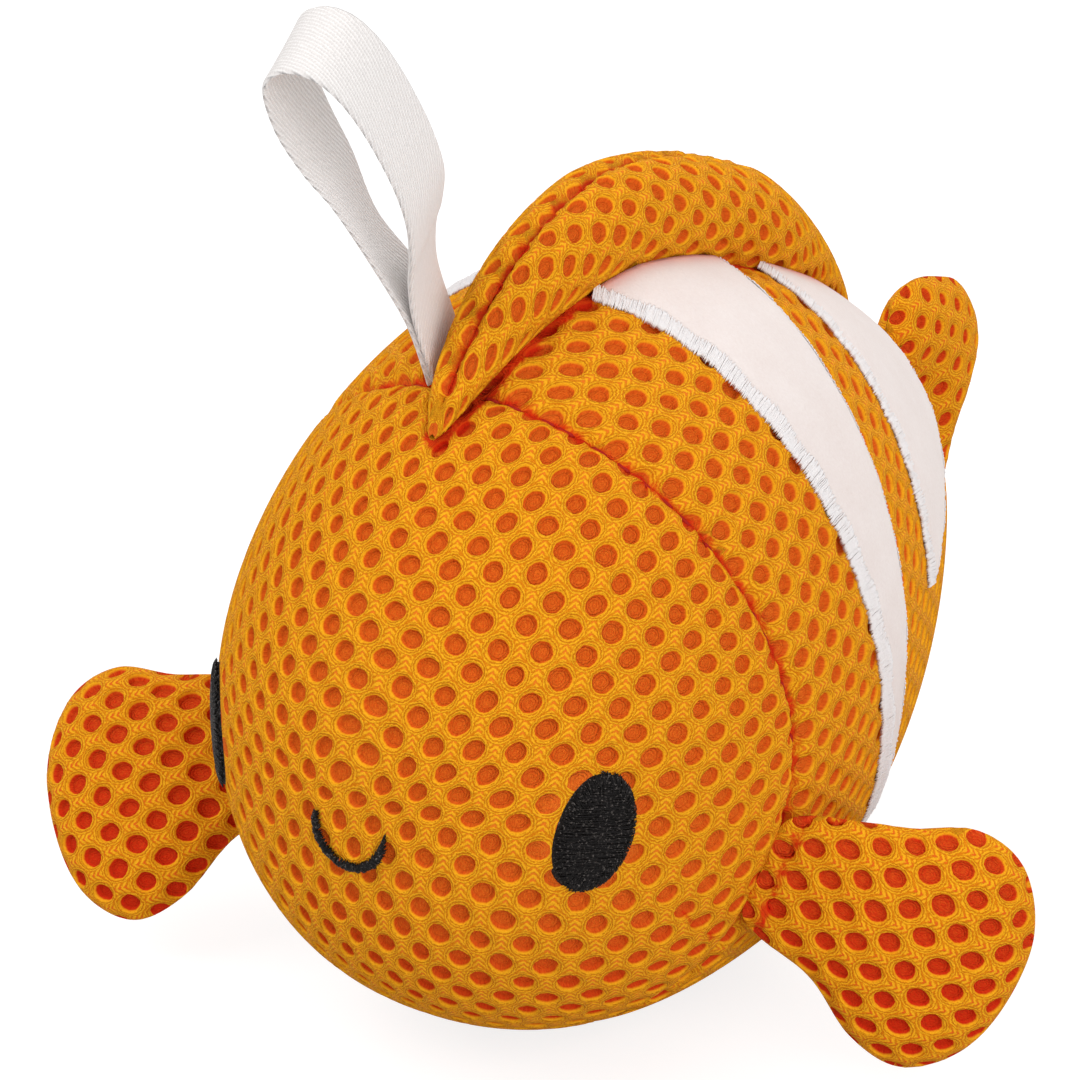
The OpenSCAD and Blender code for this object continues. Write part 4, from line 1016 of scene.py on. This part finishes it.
threads = eye_point(dy, dz, dome(rim) + 0.22 * held_down - 0.1)
along_thread = np.linspace(0, 1, THREAD_POINTS)
fringe_turn = np.linspace(0, 2 * np.pi, FRINGE, endpoint=False) + thread_chance.normal(0, 0.012, FRINGE)
out_share = 1.0 + thread_chance.uniform(-0.05, 0.05, (FRINGE, 1))
out_share = out_share - thread_chance.uniform(0.1, 0.3, (FRINGE, 1)) * along_thread
fringe_turn = fringe_turn[:, None] + thread_chance.normal(0, 0.04, (FRINGE, 1)) * along_thread
fringe_z = out_share * EYE_H / 2 * np.sin(fringe_turn)
fringe = eye_point(out_share * eye_run * np.cos(fringe_turn), fringe_z, dome(out_share) + 0.16)
threads = np.concatenate([threads, fringe])
thread_r = THREAD_R + thread_chance.uniform(-0.02, 0.02, len(threads))
thread_points, thread_faces, thread_way = thread_tubes(threads, outward(threads), thread_r, 5)
pad_faces = ring_walls(len(eye_shares), RIM)
pad_points, pad_faces, (pad_uv,) = weld(pad.reshape(-1, 3), pad_faces, [np.zeros((pad_z.size, 2))])
for side, turn in (("left", 1), ("right", -1)):
    mirror = np.array([turn, 1, 1])
    all_points = np.concatenate([pad_points, thread_points]) * mirror
    all_faces = np.concatenate([pad_faces, thread_faces + len(pad_points)])[:, ::turn]
    eye = add_piece(f"{side}_eye_satin", all_points, all_faces, black_thread, np.concatenate([pad_uv, thread_way]))
    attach(eye, "body")
    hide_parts(f"{side}_eye_embroidery")
MOUTH_W, MOUTH_H, MOUTH_Z, MOUTH_TILT = 12.0, 6.5, -4.0, math.radians(10)


def nose_at(x, z, lift):
    """Where the face passes through x, z, found by halving."""
    low, high = np.full(np.broadcast(x, z).shape, -NOSE - 3.0), np.zeros(np.broadcast(x, z).shape)
    for _ in range(30):
        y = (low + high) / 2
        side, reach, power = section(y, z, lift)
        outside = (np.abs(x) / np.maximum(side, 1e-6)) ** power + (np.abs(z) / np.maximum(reach, 1e-6)) ** power > 1
        low, high = np.where(outside, y, low), np.where(outside, high, y)
    return (low + high) / 2


def smile_point(a, w, lift):
    """Point of the smile at angle a of its arc, w outside its line; it is turned down towards the fish's left."""
    across, up = (MOUTH_W / 2 + w) * np.cos(a), (MOUTH_H + w) * np.sin(a)
    x = across * math.cos(MOUTH_TILT) + up * math.sin(MOUTH_TILT)
    z = up * math.cos(MOUTH_TILT) - across * math.sin(MOUTH_TILT) + MOUTH_Z
    return np.stack([x, nose_at(x, z, lift), z], -1)


SMILE_THREADS = 78
smile_a = np.linspace(np.pi - 0.06, 2 * np.pi + 0.06, SMILE_THREADS)[:, None]
t = np.linspace(0, 1, 9)
to_end = np.arange(SMILE_THREADS - 1, -1, -1)[:, None]
from_end = np.minimum(to_end[::-1], to_end)
half_w = (0.82 + thread_chance.uniform(-0.12, 0.22, (SMILE_THREADS, 2))) * (0.55 + 0.45 * np.clip(from_end / 8, 0, 1))
w = -half_w[:, :1] + half_w.sum(axis=1)[:, None] * t
slant = 0.04 + 0.22 * np.clip(1 - to_end / 9, 0, 1) + thread_chance.normal(0, 0.02, (SMILE_THREADS, 1))
smile = smile_point(smile_a + slant * (2 * t - 1), w, 0.1)
smile_out = outward(smile)
bulge = 0.6 + thread_chance.normal(0, 0.05, (SMILE_THREADS, 1))
smile = smile + smile_out * (0.12 + bulge * np.sin(np.pi * t) ** 0.6)[..., None]
points, faces, way = thread_tubes(smile, smile_out, 0.2, 6)
mouth = add_piece("smile_satin", points, faces, black_thread, way)
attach(mouth, "body")
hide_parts("mouth_embroidery")


# Fillings. Loose white polyester fibre, blown into the body, the roll along the back and the three fins,
# and hidden by the mesh. Each is a lumpy closed form that stays clear of its panels.
FILL_GAP = 4.2


def faced_out(points, faces):
    """The faces turned so that the form they close has a volume above nothing."""
    a, b, c = [points[faces[:, k]] for k in range(3)]
    return faces if np.sum(a * np.cross(b, c)) > 0 else faces[:, ::-1]


fibre, tree = new_material("polyester_fibre")
stretched = put(tree, "ShaderNodeMapping", {0: on_object(tree), 3: (900.0, 250.0, 400.0)}).outputs[0]
wisps = noise(tree, stretched, 1.0, 4.0, distortion=1.5)
tone = mix(tree, wisps, linear(222, 219, 212), linear(244, 242, 238))
surface(tree, tone, wisps, 0.9, 0.0006, 0.95, {"Sheen Weight": 0.3})

turns = np.linspace(0, 2 * np.pi, 64, endpoint=False)
body_y = 16.0 - 78.1 * np.cos(np.linspace(0.03, np.pi - 0.03, 48))[:, None]
body_fill = skin(body_y, turns, -FILL_GAP)
lumps = 0.5 + 0.5 * np.sin(body_fill @ [0.31, 0.23, 0.11]) * np.sin(body_fill @ [-0.13, 0.27, 0.29])
roll_y = DORSAL_LONG * np.linspace(0.1, 0.9, 30)[:, None] - DORSAL_FRONT
roll_turn = np.linspace(-dorsal_foot_turn, math.pi + dorsal_foot_turn, 25)
roll_r = np.maximum(dorsal_r(roll_y) - FILL_GAP, 0.2)
roll_fill = np.stack([roll_r * np.cos(roll_turn), roll_y + 0 * roll_turn,
                      dorsal_z(roll_y) + roll_r * np.sin(roll_turn)], -1)
body_fill = body_fill - outward(body_fill) * (0.9 * lumps)[..., None]
fillings = [("body", "body", body_fill), ("body", "dorsal_fin", roll_fill)]
for fin, shape in fins.items():
    root, axes, curve, middle = fin_frame(shape, 3)
    curve[:, 0] = np.maximum(curve[:, 0], 0)
    rho = np.array([0.02, 0.25, 0.45, 0.65, 0.8, 0.8, 0.65, 0.45, 0.25, 0.02])[:, None]
    flat = middle + (curve - middle) * rho[..., None]
    thick = np.maximum(pillow_half(shape, flat[..., 0], flat[..., 1], rho) - FILL_GAP, 0.05)
    thick = thick * np.repeat([1, -1], 5)[:, None]
    fillings.append((fin, fin, root + np.concatenate([flat, thick[..., None]], -1) @ axes))
for body, held, points in fillings:
    faces = closed_band(points.shape[1], points.shape[0])
    points = points.reshape(-1, 3)
    name = "dorsal_fibre" if held == "dorsal_fin" else f"{held}_fibre"
    fill = add_piece(name, points, faced_out(points, faces), fibre)
    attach(fill, body)
    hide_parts(f"{held}_filling")


# Squeaker. A blow-moulded polyethylene bladder in the middle of the filling: a base and a cap, joined by two
# soft folds, and a reed in its holder, which whistles as the bladder is pressed.
def moulded(name, colour, shade, gloss):
    """Thin moulded plastic, a little cloudy, with fine flow marks."""
    material, tree = new_material(name)
    place = on_object(tree)
    cloud = noise(tree, place, 160.0, 4.0)
    flow = noise(tree, put(tree, "ShaderNodeMapping", {0: place, 3: (1.0, 1.0, 6.0)}).outputs[0], 300.0)
    rough = put(tree, "ShaderNodeMapRange", {0: cloud, 3: gloss, 4: gloss + 0.15}).outputs[0]
    surface(tree, mix(tree, cloud, shade, colour), flow, 0.25, 0.0002, rough,
            {"Subsurface Weight": 0.2, "Subsurface Scale": 0.002})
    return material


bladder = moulded("bladder_plastic", linear(236, 241, 243), linear(222, 229, 232), 0.3)
reed_plastic = moulded("reed_plastic", linear(206, 211, 215), linear(190, 196, 201), 0.4)
for node, material in (("squeaker_base", bladder), ("squeaker_cap", bladder), ("squeaker_reed_holder", reed_plastic),
                       ("squeaker_reed", bladder)):
    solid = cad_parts[node]
    solid.data.materials.clear()
    solid.data.materials.append(material)
BLADDER_R, FOLD_DEEP, FOLD_LOW, FOLD_HIGH, BLADDER_WALL = 19.0, 3.5, 5.99, 16.01, 1.0
squeaker_foot = np.array([0.0, 10.0, -11.0])
FOLD_POINTS, LATHE_STEPS = 33, 96
up_fold = np.linspace(0, 1, FOLD_POINTS)
fold_r = BLADDER_R - FOLD_DEEP * (0.5 - 0.5 * np.cos(4 * np.pi * up_fold))
profile = np.concatenate([np.stack([fold_r, up_fold], 1), np.stack([fold_r - BLADDER_WALL, up_fold], 1)[::-1]])
lathe = np.linspace(0, 2 * np.pi, LATHE_STEPS, endpoint=False)[:, None]
bellows = np.stack([profile[:, 0] * np.cos(lathe), profile[:, 0] * np.sin(lathe),
                    FOLD_LOW + (FOLD_HIGH - FOLD_LOW) * profile[:, 1] + 0 * lathe], -1) + squeaker_foot
bellows = bellows.reshape(-1, 3)
faces = faced_out(bellows, ring_walls(LATHE_STEPS + 1, len(profile)) % len(bellows))
folds = add_piece("squeaker_folds", bellows, faces, bladder)
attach(folds, "body")
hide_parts("squeaker_bellows")
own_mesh(folds)
